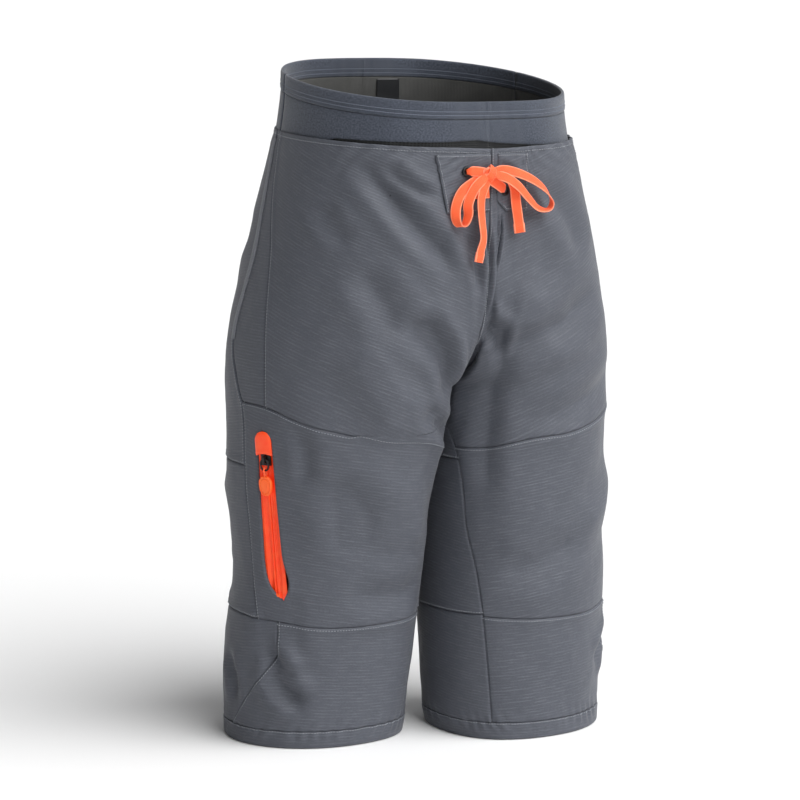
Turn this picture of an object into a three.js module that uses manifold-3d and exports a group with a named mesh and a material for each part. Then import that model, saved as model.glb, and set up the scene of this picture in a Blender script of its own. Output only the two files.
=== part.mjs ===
// Padded impact shorts: an outer shell of sewn panels over a liner with foam pads, a laced fly
// and a zipped thigh pocket. Millimetres, +Z up, the front faces -Y, the wearer's left is +X.
import * as THREE from 'three';
import { mergeVertices } from 'three/addons/utils/BufferGeometryUtils.js';
import Module from 'manifold-3d';

const wasm = await Module();
wasm.setup();

// Heights above the hems.
const crotchHeight = 346;
const waistHeight = 578;
const lowerBandHeight = 31;
const upperBandHeight = 18;
const coverSeamHeight = waistHeight + lowerBandHeight;
const rimHeight = coverSeamHeight + upperBandHeight;
const hemBandHeight = 16.5;
const kneeSeamHeight = 118;
const backSeamHeight = crotchHeight - 76;
const waistTilt = 0.105;
const rimDip = 7;
const bodyShiftY = 1.6;

// Half sizes of the sections, from hem to rim. One row holds: height, leg axis, outer half width,
// half depth, gap to the middle plane, fore-and-aft stance, lead to the back, squareness.
const crotchRise = waistHeight - crotchHeight;
const sections = [
  [0, 93, 88, 76, 10, 34, 6, 0.82],
  [crotchHeight * 0.31, 91, 94, 82, 2, 30, 4, 0.8],
  [crotchHeight * 0.6, 87, 99, 92, 1.5, 22, 2, 0.78],
  [crotchHeight * 0.89, 83, 105, 104, 0.8, 12, 0, 0.76],
  [crotchHeight, 80, 109, 110, 0, 8, 0, 0.76],
  [crotchHeight + crotchRise * 0.27, 70, 114, 120, 0, 4, 0, 0.85],
  [crotchHeight + crotchRise * 0.61, 56, 112, 124, 0, 0, 0, 0.95],
  [waistHeight, 42, 102, 118, 0, 0, 0, 1],
  [waistHeight + 35, 38, 103, 113, 0, 0, 0, 1],
  [waistHeight + 70, 36, 104, 112, 0, 0, 0, 1],
];
const frontCrotchDepth = 110;
const backCrotchDepth = 150;
const stanceFade = 120;

// Cloth.
const shellThickness = 1.5;
const seamGap = 0.8;
const hemThickness = 3;
const hemProud = 0.5;
const bandThickness = 2.4;
const bandInset = 3.4;
const foldProud = 0.8;
const frontSag = 5;
const bandTuck = 16;
const linerThickness = 1.2;
const linerInset = 17;
const linerHem = crotchHeight - 156;
const padClearance = 1.4;
const innerClearance = 1.8;
const overClearance = 1;

// Zip on the outside of the wearer's right thigh, in its own frame: X across, Y out, Z up.
const zipCentreY = -14.4;
const windowWidth = 17;
const windowTop = crotchHeight - 42;
const windowBottom = kneeSeamHeight + 28;
const tapeWidth = 9;
const tapeThickness = 1;
const coilWidth = 2.8;
const coilHeight = 1.3;
const coilGap = 1.1;
const tapeTail = 2;
const tapeDepth = 4.3;
const sliderWidth = 10.4;
const sliderLength = 12;
const sliderPlate = 1.5;
const slideClearance = 0.35;
const garageLength = 20;
const garageThickness = 0.9;
const garageLift = 1.1;
const ringRadius = 5;
const ringWire = 0.8;
const ringHeight = 2.7;
const tabLength = 19;
const tabWidth = 11;
const tabThickness = 3.4;
const tabLift = 0.5;

// Lacing.
const lapOffset = -6;
const patchTop = waistHeight - 9;
const patchBottom = patchTop - 57;
const rightPatchWidth = 58;
const leftPatchWidth = 41;
const patchThickness = 0.9;
const eyeletRows = [patchTop - 37, patchTop - 17];
const rightEyeletX = -34;
const leftEyeletX = 9;
const eyeletRadius = 4.6;
const eyeletBore = 2.4;
const laceDiameter = 4;

const shellColour = 0x5c6068;
const bandColour = 0x4b525f;
const darkColour = 0x1b1c1f;
const orangeColour = 0xf2552a;

const lerp = (a, b, t) => a + (b - a) * t;
const clamp = (v, low = 0, high = 1) => Math.min(high, Math.max(low, v));
const smooth = (t) => clamp(t) ** 2 * (3 - 2 * clamp(t));
const power = (v, e) => Math.sign(v) * Math.abs(v) ** e;

// Smooth curve through [position, value] pairs that never overshoots them.
function curveThrough(pairs) {
  const n = pairs.length;
  const slope = pairs.slice(1).map(([x, y], i) => (y - pairs[i][1]) / (x - pairs[i][0]));
  const tangent = pairs.map((_, i) => {
    if (i === 0) return slope[0];
    if (i === n - 1) return slope[n - 2];
    return slope[i - 1] * slope[i] <= 0 ? 0 : (slope[i - 1] + slope[i]) / 2;
  });
  return (x) => {
    let i = 0;
    while (i < n - 2 && x > pairs[i + 1][0]) i += 1;
    const width = pairs[i + 1][0] - pairs[i][0];
    const t = clamp((x - pairs[i][0]) / width);
    const a = (1 + 2 * t) * (1 - t) ** 2 * pairs[i][1] + t * t * (3 - 2 * t) * pairs[i + 1][1];
    const b = t * (1 - t) ** 2 * tangent[i] + t * t * (t - 1) * tangent[i + 1];
    return a + b * width;
  };
}

const sectionColumns = [1, 2, 3, 4, 5, 6, 7].map((k) => curveThrough(sections.map((s) => [s[0], s[k]])));
const sectionAt = (z) => {
  const [axis, width, depth, gap, stance, lead, square] = sectionColumns.map((column) => column(z));
  return { axis, width, depth, gap, stance, lead, square };
};

// Seam lines. Around a leg, u runs from the middle front (0) by the outside (0.5) to the middle
// back (1); below the crotch it closes on the inside of the leg.
const inseam = curveThrough([[0, 0.127], [kneeSeamHeight - 50, 0.12], [kneeSeamHeight + 8, 0.11],
  [crotchHeight - 186, 0.098], [crotchHeight - 137, 0.072], [crotchHeight - 66, 0.058],
  [crotchHeight, 0]]);
const sideFrontSeam = curveThrough([[crotchHeight - 24, 0.455], [crotchHeight + 54, 0.47],
  [crotchHeight + 124, 0.495], [waistHeight - 59, 0.52], [waistHeight - 39, 0.53], [waistHeight, 0.545]]);
const sideSeam = curveThrough([[kneeSeamHeight + 8, 0.445], [kneeSeamHeight + 67, 0.468],
  [backSeamHeight - 41, 0.482], [backSeamHeight, 0.494], [crotchHeight - 18, 0.503]]);
const pocketLine = curveThrough([[crotchHeight - 18, 0.503], [crotchHeight + 30, 0.535],
  [waistHeight - 110, 0.536], [waistHeight - 60, 0.546], [waistHeight, 0.56]]);
const pocketEdge = (z) => (z < crotchHeight - 18 ? sideSeam(z) : pocketLine(z));
const thighSeam = curveThrough([[0, crotchHeight - 64], [0.115, crotchHeight - 63],
  [0.2, crotchHeight - 54], [0.27, crotchHeight - 49], [0.32, crotchHeight - 42],
  [0.39, crotchHeight - 31], [0.455, crotchHeight - 18], [0.51, crotchHeight - 16]]);
const kneeSeam = curveThrough([[0.05, kneeSeamHeight + 5], [0.2, kneeSeamHeight],
  [0.3, kneeSeamHeight - 1], [0.4, kneeSeamHeight + 4], [0.5, kneeSeamHeight + 8],
  [0.8, kneeSeamHeight + 2], [1.15, kneeSeamHeight + 5]]);
const dartSeam = curveThrough([[0, 0.53], [20, 0.503], [52, 0.455], [70, 0.427], [96, 0.4],
  [kneeSeamHeight + 12, 0.405]]);
const shellTop = () => waistHeight;
const rimLine = (u) => rimHeight - rimDip * Math.cos(Math.PI * u);

// A point of the shell's outer face. side is +1 for the wearer's left half and -1 for the right.
function shellPoint(side, turn, z) {
  const u = z < crotchHeight ? turn - Math.floor(turn) : clamp(turn);
  const { axis, width, depth, gap, stance, lead, square } = sectionAt(z);
  const angle = 2 * Math.PI * u;
  const inward = Math.cos(angle) > 0;
  const outerSquare = u < 0.5 ? 1 : (1 + square) / 2;
  const across = power(Math.cos(angle), inward ? square : outerSquare);
  const along = Math.abs(power(Math.sin(angle), inward ? square : outerSquare));
  const rise = clamp((z - crotchHeight) / (u < 0.5 ? frontCrotchDepth : backCrotchDepth));
  const crotchShare = Math.sqrt(1 - (1 - rise) ** 2);
  const reach = inward ? crotchShare + (1 - crotchShare) * along : along;
  const fade = smooth((z - crotchHeight + stanceFade) / stanceFade) * clamp(across);
  const centre = lead - side * stance * (1 - fade);
  const x = axis - (inward ? axis - gap : width) * across;
  const y = centre + (u < 0.5 ? -1 : 1) * depth * reach;
  const tilt = waistTilt * clamp((z - waistHeight + 90) / 160);
  return new THREE.Vector3(side * x, y + bodyShiftY, z + tilt * y);
}

function shellNormal(side, turn, z) {
  const step = 0.012;
  const closed = z < crotchHeight - 2;
  const u = closed ? turn : clamp(turn, 0.03, 0.97);
  const alongU = shellPoint(side, u + step, z).sub(shellPoint(side, u - step, z));
  const alongZ = shellPoint(side, u, z + 3).sub(shellPoint(side, u, z - 3));
  return alongU.cross(alongZ).multiplyScalar(side).normalize();
}

// The shell's point moved outward; halves that meet at the middle plane stay clear of it.
function clothPoint(side, u, z, out, level = false) {
  const normal = shellNormal(side, u, z);
  if (level) normal.setZ(0).normalize();
  const point = shellPoint(side, u, z).addScaledVector(normal, out);
  point.x = side * Math.max(side * point.x, seamGap / 2);
  return point;
}

// Around the whole waist: turn 0 and 1 at the middle front, 0.25 at the wearer's left.
function waistPoint(turn, z, out) {
  const t = turn - Math.floor(turn);
  const side = t <= 0.5 ? 1 : -1;
  const u = t <= 0.5 ? 2 * t : 2 - 2 * t;
  const point = shellPoint(side, u, z).addScaledVector(shellNormal(side, u, z), out);
  if (t === 0 || t === 0.5) point.x = 0;
  return point;
}

// Where a line of constant x crosses the front of a half, and of constant y its outside.
function frontTurnAt(z, x) {
  const { axis, width, square } = sectionAt(z);
  if (x < axis) return Math.acos(((axis - x) / axis) ** (1 / square)) / (2 * Math.PI);
  return Math.acos(-(x - axis) / width) / (2 * Math.PI);
}

function outsideTurnAt(side, z, y) {
  const { depth, stance, lead } = sectionAt(z);
  return 0.5 - Math.asin((lead - side * stance + bodyShiftY - y) / depth) / (2 * Math.PI);
}

// Closed solid from two layers of a grid. A wrapped grid joins its last column to its first;
// cells that skip() names are left open, with walls round them.
function layeredSolid({ columns, rows, point, wrap = false, skip = () => false }) {
  const wide = wrap ? columns : columns + 1;
  const positions = [];
  for (const layer of [0, 1]) {
    for (let j = 0; j <= rows; j += 1) {
      for (let i = 0; i < wide; i += 1) positions.push(...point(i, j, layer).toArray());
    }
  }
  const at = (i, j, layer) => layer * wide * (rows + 1) + j * wide + (wrap ? (i + columns) % columns : i);
  const solid = (i, j) => {
    const column = wrap ? (i + columns) % columns : i;
    return column >= 0 && column < columns && j >= 0 && j < rows && !skip(column, j);
  };
  const faces = [];
  const quad = (a, b, c, d) => faces.push(a, b, c, a, c, d);
  for (let j = 0; j < rows; j += 1) {
    for (let i = 0; i < columns; i += 1) {
      if (!solid(i, j)) continue;
      quad(at(i, j, 1), at(i + 1, j, 1), at(i + 1, j + 1, 1), at(i, j + 1, 1));
      quad(at(i, j, 0), at(i, j + 1, 0), at(i + 1, j + 1, 0), at(i + 1, j, 0));
      if (!solid(i, j - 1)) quad(at(i, j, 0), at(i + 1, j, 0), at(i + 1, j, 1), at(i, j, 1));
      if (!solid(i, j + 1)) quad(at(i + 1, j + 1, 0), at(i, j + 1, 0), at(i, j + 1, 1), at(i + 1, j + 1, 1));
      if (!solid(i - 1, j)) quad(at(i, j + 1, 0), at(i, j, 0), at(i, j, 1), at(i, j + 1, 1));
      if (!solid(i + 1, j)) quad(at(i + 1, j, 0), at(i + 1, j + 1, 0), at(i + 1, j + 1, 1), at(i + 1, j, 1));
    }
  }
  const geometry = new THREE.BufferGeometry();
  geometry.setAttribute('position', new THREE.Float32BufferAttribute(positions, 3));
  geometry.setIndex(faces);
  return facingOut(geometry);
}

function facingOut(geometry) {
  const p = geometry.attributes.position;
  const index = geometry.index.array;
  const corner = [0, 1, 2].map(() => new THREE.Vector3());
  let volume = 0;
  for (let k = 0; k < index.length; k += 3) {
    corner.forEach((v, m) => v.fromBufferAttribute(p, index[k + m]));
    volume += corner[0].dot(corner[1].cross(corner[2]));
  }
  if (volume < 0) {
    for (let k = 0; k < index.length; k += 3) [index[k + 1], index[k + 2]] = [index[k + 2], index[k + 1]];
  }
  geometry.computeVertexNormals();
  return geometry;
}

const even = (count) => Array.from({ length: count + 1 }, (_, i) => i / count);

// A panel of one half between two upright seams (u for a height) and two cross seams (height for
// a u), with seamGap left round it.
function panel({ side, front, back, bottom, top, columns, rows, out = 0, thickness = shellThickness,
  across = even(columns), up = even(rows), level = false, skip, bulge = () => 0 }) {
  const place = (s, t) => {
    let z = lerp(bottom(0.3), top(0.3), t);
    let u = 0;
    for (let k = 0; k < 8; k += 1) {
      u = lerp(front(z), back(z), s);
      z = lerp(bottom(u) + seamGap / 2, top(u) - seamGap / 2, t);
    }
    const around = 2 * Math.PI * Math.sqrt((sectionAt(z).width ** 2 + sectionAt(z).depth ** 2) / 2);
    const trim = seamGap / 2 / around;
    return [clamp(u, front(z) + trim, back(z) - trim), z];
  };
  return layeredSolid({
    columns, rows, skip,
    point: (i, j, layer) => {
      const [u, z] = place(across[i], up[j]);
      const raised = out + bulge(u, z, across[i], up[j]) - (layer ? 0 : thickness);
      const point = clothPoint(side, u, z, raised, level);
      if (level) point.z = z;
      return point;
    },
  });
}

const parts = new THREE.Group();
function addPart(name, geometry, colour, parent = parts, roughness = 0.85, metalness = 0) {
  const material = new THREE.MeshStandardMaterial({ color: colour, roughness, metalness });
  const mesh = new THREE.Mesh(geometry, material);
  mesh.name = name;
  parent.add(mesh);
  return mesh;
}

const constant = (value) => () => value;
const sideName = (side) => (side > 0 ? 'left' : 'right');

// The sag of the front edge, which stands off the waistband between the pockets.
const sagAt = (u, z) => frontSag * smooth((z - waistHeight + 60) / 60) * smooth((0.36 - u) / 0.14);

// Shares of a panel's height: even steps down the inseam, then steps that widen from the crotch.
function rowsThroughCrotch(bottom) {
  const share = (z) => (z - bottom) / (waistHeight - bottom);
  const below = [3, 2, 1, 0].map((k) => share(crotchHeight - 21 * k)).filter((t) => t > 0.01);
  const above = even(9).slice(1).map((t) => lerp(share(crotchHeight), 1, t ** 1.45));
  return [0, ...below, ...above];
}

function addUpperPanels(side) {
  const name = sideName(side);
  const front = (z) => (z < crotchHeight ? inseam(z) : 0);
  const frontRows = rowsThroughCrotch(thighSeam(0));
  const backRows = rowsThroughCrotch(backSeamHeight);
  const wedgeRows = rowsThroughCrotch(crotchHeight - 17);
  addPart(`front_upper_${name}`, panel({
    side, front, back: sideFrontSeam, bottom: thighSeam, top: shellTop, columns: 13,
    rows: frontRows.length - 1, up: frontRows,
    bulge: sagAt,
  }), shellColour);
  addPart(`side_wedge_${name}`, panel({
    side, front: sideFrontSeam, back: pocketEdge, bottom: thighSeam, top: shellTop, columns: 2,
    rows: wedgeRows.length - 1, up: wedgeRows,
  }), shellColour);
  addPart(`back_upper_${name}`, panel({
    side, front: pocketEdge, back: (z) => (z < crotchHeight ? 1 + inseam(z) : 1),
    bottom: constant(backSeamHeight), top: shellTop, columns: 12, rows: backRows.length - 1, up: backRows,
  }), shellColour);
}

function addLegPanels(side) {
  const name = sideName(side);
  const belowCrotch = (z) => 1 + inseam(z);
  const inZip = side < 0;
  const windowTurn = (z, edge) => outsideTurnAt(side, z, zipCentreY + edge * windowWidth / 2);
  const bottomShare = (windowBottom - kneeSeamHeight - 6) / (crotchHeight - 18 - kneeSeamHeight - 6);
  const topShare = (windowTop - kneeSeamHeight - 6) / (crotchHeight - 18 - kneeSeamHeight - 6);
  const up = [0, ...even(6).map((t) => lerp(bottomShare, topShare, t)), 1];
  const frontColumns = 10;
  // Columns are counted in whole steps: nine to a margin before the window, the margin, the window
  // and the strip behind it.
  const columnTurn = (z, s) => {
    const step = s * (frontColumns + 2);
    const margin = windowTurn(z, -1.8);
    if (step <= frontColumns - 1) return lerp(inseam(z), margin, step / (frontColumns - 1));
    if (step <= frontColumns) return lerp(margin, windowTurn(z, -1), step - frontColumns + 1);
    if (step <= frontColumns + 1) return lerp(windowTurn(z, -1), windowTurn(z, 1), step - frontColumns);
    return lerp(windowTurn(z, 1), sideSeam(z), step - frontColumns - 1);
  };
  const thigh = (s, t) => {
    let z = lerp(kneeSeamHeight, crotchHeight - 40, t);
    for (let k = 0; k < 8; k += 1) {
      const u = columnTurn(z, s);
      z = lerp(kneeSeam(u) + seamGap / 2, thighSeam(u) - seamGap / 2, t);
    }
    const trim = seamGap / 900;
    return [clamp(columnTurn(z, s), inseam(z) + trim, sideSeam(z) - trim), z];
  };
  addPart(`front_thigh_${name}`, inZip
    ? layeredSolid({
      columns: frontColumns + 2, rows: up.length - 1,
      skip: (i, j) => i === frontColumns && j > 0 && j < up.length - 2,
      point: (i, j, layer) => {
        const [u, z] = thigh(i / (frontColumns + 2), up[j]);
        return clothPoint(side, u, z, layer ? 0 : -shellThickness);
      },
    })
    : panel({ side, front: inseam, back: sideSeam, bottom: kneeSeam, top: thighSeam, columns: 12, rows: 7 }),
  shellColour);
  addPart(`back_thigh_${name}`, panel({
    side, front: sideSeam, back: belowCrotch, bottom: kneeSeam, top: constant(backSeamHeight),
    columns: 14, rows: 5,
  }), shellColour);
  addPart(`front_knee_${name}`, panel({
    side, front: inseam, back: dartSeam, bottom: constant(hemBandHeight), top: kneeSeam, columns: 10, rows: 4,
  }), shellColour);
  addPart(`back_knee_${name}`, panel({
    side, front: dartSeam, back: belowCrotch, bottom: constant(hemBandHeight), top: kneeSeam,
    columns: 14, rows: 4,
  }), shellColour);
  const hemColumns = 26;
  addPart(`hem_band_${name}`, layeredSolid({
    columns: hemColumns, rows: 1, wrap: true,
    point: (i, j, layer) => {
      const z = j * (hemBandHeight - seamGap / 2);
      const out = hemProud - (layer ? 0 : hemThickness);
      const point = clothPoint(side, i / hemColumns, Math.max(z, 0.01), out, true);
      point.z = z;
      return point;
    },
  }), shellColour);
}

// Piped edge strip and bag of each hand pocket.
function addHandPocket(side) {
  const name = sideName(side);
  const halfWidth = 0.0045;
  addPart(`pocket_welt_${name}`, panel({
    side, front: (z) => pocketEdge(z) - halfWidth, back: (z) => pocketEdge(z) + halfWidth,
    bottom: constant(crotchHeight + 40), top: constant(waistHeight - 8), columns: 1, rows: 9,
    out: overClearance + 1, thickness: 1,
  }), shellColour);
  addPart(`hand_pocket_bag_${name}`, panel({
    side, front: constant(0.3), back: (z) => pocketEdge(z) - 0.004,
    bottom: constant(crotchHeight + 48), top: constant(waistHeight - 24), columns: 6, rows: 5,
    out: -shellThickness - innerClearance, thickness: 0.8,
  }), darkColour);
}

// Waistband: a lower band that runs down inside the shell and a folded upper band over it,
// each made of a front and a back piece that meet at the side seams.
function addWaistband() {
  const sideTurn = 0.275;
  const gapTurn = 0.0003;
  const pieces = { front: [-sideTurn, sideTurn], back: [sideTurn, 1 - sideTurn] };
  const bands = {
    upper: {
      low: () => coverSeamHeight + 0.2, high: rimLine, out: foldProud - bandInset,
      thickness: bandThickness + 1,
    },
    lower: {
      low: () => waistHeight - bandTuck, high: () => coverSeamHeight - 0.2, out: -bandInset,
      thickness: bandThickness,
    },
  };
  for (const [band, { low, high, out, thickness }] of Object.entries(bands)) {
    for (const [name, [from, to]] of Object.entries(pieces)) {
      const columns = 18;
      const rows = 2;
      addPart(`waistband_${band}_${name}`, layeredSolid({
        columns, rows,
        point: (i, j, layer) => {
          const turn = lerp(from + gapTurn, to - gapTurn, i / columns);
          const u = Math.abs(turn <= 0.5 ? 2 * turn : 2 - 2 * turn);
          return waistPoint(turn, lerp(low(u), high(u), j / rows), out - (layer ? 0 : thickness));
        },
      }), bandColour);
    }
  }
  const labelTurns = [0.40, 0.468];
  const labelHeight = 17;
  const labelLow = coverSeamHeight - labelHeight - 2;
  addPart('blank_label', layeredSolid({
    columns: 4, rows: 1,
    point: (i, j, layer) => waistPoint(lerp(...labelTurns, i / 4), labelLow + labelHeight * j,
      -bandInset - bandThickness - 0.35 - (layer ? 0 : 0.6)),
  }), darkColour);
}

// Liner: close-fitting inner shorts that hang from the lower band, with pads on its outer face.
const linerTop = waistHeight - bandTuck;
const linerOut = (z) => -lerp(linerInset, bandInset + 0.6, smooth((z - linerTop + 55) / 55));

function addLiner(side) {
  addPart(`liner_${sideName(side)}`, panel({
    side, front: constant(0), back: constant(1), bottom: constant(linerHem), top: constant(linerTop),
    columns: 20, rows: 11, thickness: linerThickness,
    bulge: (u, z) => linerOut(z),
  }), darkColour);
}

// A crowned pad with rounded corners; place() gives a point of the body for its flat plan.
function pad({ halfWidth, halfHeight, edge, crown, place, columns = 6, rows = 6 }) {
  const corner = 0.55;
  return layeredSolid({
    columns, rows,
    point: (i, j, layer) => {
      const s = 2 * i / columns - 1;
      const t = 2 * j / rows - 1;
      const x = s * lerp(1, Math.sqrt(1 - t * t / 2), corner);
      const y = t * lerp(1, Math.sqrt(1 - s * s / 2), corner);
      const height = lerp(edge, crown, (1 - s ** 4) * (1 - t ** 4));
      return place(x * halfWidth, y * halfHeight, layer ? height : 0);
    },
  });
}

const hipPad = {
  turn: 0.49, height: waistHeight - 133, halfWidth: 0.085, halfHeight: 60, edge: 2.5, crown: 10.5,
};
const thighPad = {
  turn: 0.27, height: crotchHeight - 88, halfWidth: 0.075, halfHeight: 52, edge: 2, crown: 6.5,
};
const tailPad = { height: waistHeight - 126, halfWidth: 0.052, halfHeight: 52, edge: 2.5, crown: 10 };

function addPads(side) {
  for (const [kind, { turn, height, ...size }] of Object.entries({ hip: hipPad, thigh: thighPad })) {
    addPart(`${kind}_pad_${sideName(side)}`, pad({
      ...size,
      place: (x, y, rise) => {
        const z = height + y;
        return clothPoint(side, turn + x, z, linerOut(z) + padClearance + rise);
      },
    }), darkColour);
  }
}

function addTailPad() {
  const { height, ...size } = tailPad;
  addPart('tailbone_pad', pad({
    ...size,
    place: (x, y, rise) => {
      const z = height + y;
      return waistPoint(0.5 + x, z, linerOut(z) + padClearance + rise);
    },
  }), darkColour);
}

// Fly, lacing patches, eyelets and lace.
function addFly() {
  const strip = (name, side, from, to, low, high, out, thickness, columns) => addPart(name, panel({
    side, front: (z) => frontTurnAt(z, from), back: (z) => frontTurnAt(z, to),
    bottom: constant(low), top: constant(high), columns, rows: 3, out, thickness,
    bulge: sagAt,
  }), shellColour);
  strip('fly_facing', 1, 1, 20, crotchHeight + 82, waistHeight - 8, -shellThickness - innerClearance, 1, 2);
  strip('lacing_patch_right', -1, -lapOffset + 1.5, -lapOffset + rightPatchWidth, patchBottom, patchTop,
    overClearance + patchThickness, patchThickness, 5);
  strip('lacing_patch_left', 1, 0.8, leftPatchWidth + lapOffset, patchBottom, patchTop,
    overClearance + patchThickness, patchThickness, 4);
}

// A point in front of the fly: x and z as seen from the front, out from the shell.
function frontPoint(x, z, out) {
  const side = x < 0 ? -1 : 1;
  const u = frontTurnAt(z, Math.max(Math.abs(x), 0.5));
  const point = shellPoint(side, u, z).addScaledVector(shellNormal(side, u, z), out + sagAt(u, z));
  point.x = x;
  return point;
}

function addEyelets() {
  const height = 1.1;
  const profile = [[eyeletBore, 0], [eyeletRadius, 0], [eyeletRadius - 0.4, height], [eyeletBore, height],
    [eyeletBore, 0]].map(([r, y]) => new THREE.Vector2(r, y));
  eyeletRows.forEach((z, row) => {
    [rightEyeletX, leftEyeletX].forEach((x) => {
      const eyelet = addPart(`eyelet_${x < 0 ? 'right' : 'left'}_${row ? 'upper' : 'lower'}`,
        new THREE.LatheGeometry(profile, 14), darkColour, parts, 0.4, 0.3);
      const normal = shellNormal(Math.sign(x), frontTurnAt(z, Math.abs(x)), z);
      eyelet.position.copy(frontPoint(x, z, overClearance + patchThickness + 0.5));
      eyelet.quaternion.setFromUnitVectors(new THREE.Vector3(0, 1, 0), normal);
    });
  });
}

const tubeOutline = (radius, sides) => new THREE.Shape(Array.from({ length: sides }, (_, i) => {
  const angle = 2 * Math.PI * (i + 0.5) / sides;
  return new THREE.Vector2(radius * Math.cos(angle), radius * Math.sin(angle));
}));

function tube(points, radius, steps, sides = 8) {
  const path = new THREE.CatmullRomCurve3(points);
  const outline = tubeOutline(radius, sides);
  return new THREE.ExtrudeGeometry(outline, { extrudePath: path, steps, curveSegments: 1 });
}

// The lace's routes, in [x, z, distance off the shell], chosen by hand.
const knotPlace = [-7, 549, 9];
const laceRoutes = {
  lace_upper_run: [[-31, 551.5, 6.2], [-24, 551, 6.6], [-15.3, 550.6, 8]],
  lace_lower_run: [[-31, 532, 6.2], [-20, 532, 6.4], [-6, 532, 6.4], [6, 533, 6.2]],
  lace_loop_right: [[-14, 545.2, 7.2], [-26, 534, 11.2], [-36, 518, 9.6], [-38, 504, 8], [-33, 500, 8.5],
    [-29, 508, 10.4], [-22, 524, 13.6], [-13.6, 543.6, 11.6]],
  lace_loop_left: [[1.2, 551.6, 7.2], [14, 552, 10], [34, 541, 12], [52, 524, 11], [54, 514, 10],
    [42, 514, 10], [26, 528, 11], [10, 542, 11.8], [1.2, 546.6, 11.8]],
  lace_tail_right: [[-8.4, 542, 9.4], [-12, 530, 11.6], [-16, 508, 8], [-17, 490, 8], [-15, 472, 8]],
  lace_tail_left: [[-3, 542.2, 9.4], [5, 532, 11.8], [14, 518, 9], [18, 505, 8.5], [21, 493, 8.5]],
};

function addLace() {
  for (const [name, route] of Object.entries(laceRoutes)) {
    const points = route.map(([x, z, out]) => frontPoint(x, z, out));
    addPart(name, tube(points, laceDiameter / 2, Math.max(6, 3 * (route.length - 1))), orangeColour);
  }
  const knot = new THREE.SphereGeometry(1, 12, 8);
  knot.scale(8, 5.5, 6.5);
  const mesh = addPart('lace_knot', knot, orangeColour);
  mesh.position.copy(frontPoint(...knotPlace));
}

// Zipped pocket on the right thigh.
function solidOf(geometry) {
  const bare = geometry.clone();
  bare.deleteAttribute('normal');
  bare.deleteAttribute('uv');
  const merged = mergeVertices(bare, 1e-4);
  return new wasm.Manifold(new wasm.Mesh({
    numProp: 3,
    vertProperties: new Float32Array(merged.attributes.position.array),
    triVerts: new Uint32Array(merged.index.array),
  }));
}

function geometryOf(solid) {
  const mesh = solid.getMesh();
  const geometry = new THREE.BufferGeometry();
  geometry.setAttribute('position', new THREE.Float32BufferAttribute(mesh.vertProperties, 3));
  geometry.setIndex(new THREE.Uint32BufferAttribute(mesh.triVerts, 1));
  return geometry;
}

function box(width, depth, height, x, y, z) {
  return new THREE.BoxGeometry(width, depth, height).translate(x, y, z);
}

// Outline in X and Y pushed along Z from one height to another.
function bar(outline, from, to) {
  const shape = new THREE.Shape(outline.map(([x, y]) => new THREE.Vector2(x, y)));
  return new THREE.ExtrudeGeometry(shape, { depth: to - from, bevelEnabled: false }).translate(0, 0, from);
}

// Outline in X and Z with a thickness along Y, from near to far off the leg.
function plate(shape, near, far, curveSegments = 5) {
  const depth = far - near;
  const geometry = new THREE.ExtrudeGeometry(shape, { depth, bevelEnabled: false, curveSegments });
  return geometry.rotateX(Math.PI / 2).translate(0, far, 0);
}

function tongue(width, top, bottom) {
  const radius = width / 2;
  const shape = new THREE.Shape();
  shape.moveTo(-radius, bottom);
  shape.lineTo(radius, bottom);
  shape.lineTo(radius, top - radius);
  shape.absarc(0, top - radius, radius, 0, Math.PI, false);
  return shape;
}

function addZip() {
  const side = -1;
  const onLeg = (z) => shellPoint(side, outsideTurnAt(side, z, zipCentreY), z);
  const top = onLeg(windowTop);
  const bottom = onLeg(windowBottom);
  const upward = top.clone().sub(bottom).normalize();
  const middleZ = (windowTop + windowBottom) / 2;
  const outward = shellNormal(side, outsideTurnAt(side, middleZ, zipCentreY), middleZ);
  outward.addScaledVector(upward, -outward.dot(upward)).normalize();
  const across = outward.clone().cross(upward);
  const zip = new THREE.Group();
  zip.applyMatrix4(new THREE.Matrix4().makeBasis(across, outward, upward));
  zip.position.copy(top.clone().add(bottom).multiplyScalar(0.5));
  parts.add(zip);

  const half = top.distanceTo(bottom) / 2;
  const coilTop = -tapeDepth + coilHeight;
  const tapeBottom = -tapeDepth - tapeThickness;
  for (const [name, sign] of [['front', -1], ['back', 1]]) {
    const near = coilGap / 2;
    const outline = [[near, tapeBottom], [near + tapeWidth, tapeBottom], [near + tapeWidth, -tapeDepth],
      [near + coilWidth, -tapeDepth], [near + coilWidth, coilTop], [near, coilTop]]
      .map(([x, y]) => [sign * x, y]);
    if (sign < 0) outline.reverse();
    addPart(`zip_tape_${name}`, bar(outline, -half - tapeTail, half + tapeTail), orangeColour, zip, 0.5);
  }
  addPart('zip_garage', plate(tongue(windowWidth + 1, half + 1.5, half + 1.5 - garageLength),
    garageLift, garageLift + garageThickness), orangeColour, zip, 0.5);
  addPart('zip_bottom_stop', box(2 * coilWidth + coilGap, 0.9, 3, 0, coilTop + 0.3 + 0.45, -half + 3),
    orangeColour, zip, 0.5);

  const slider = new THREE.Group();
  slider.position.z = half + 1.5 - garageLength - 0.8 - sliderLength / 2;
  zip.add(slider);
  addSlider(slider, coilTop, tapeBottom);
}

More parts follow.
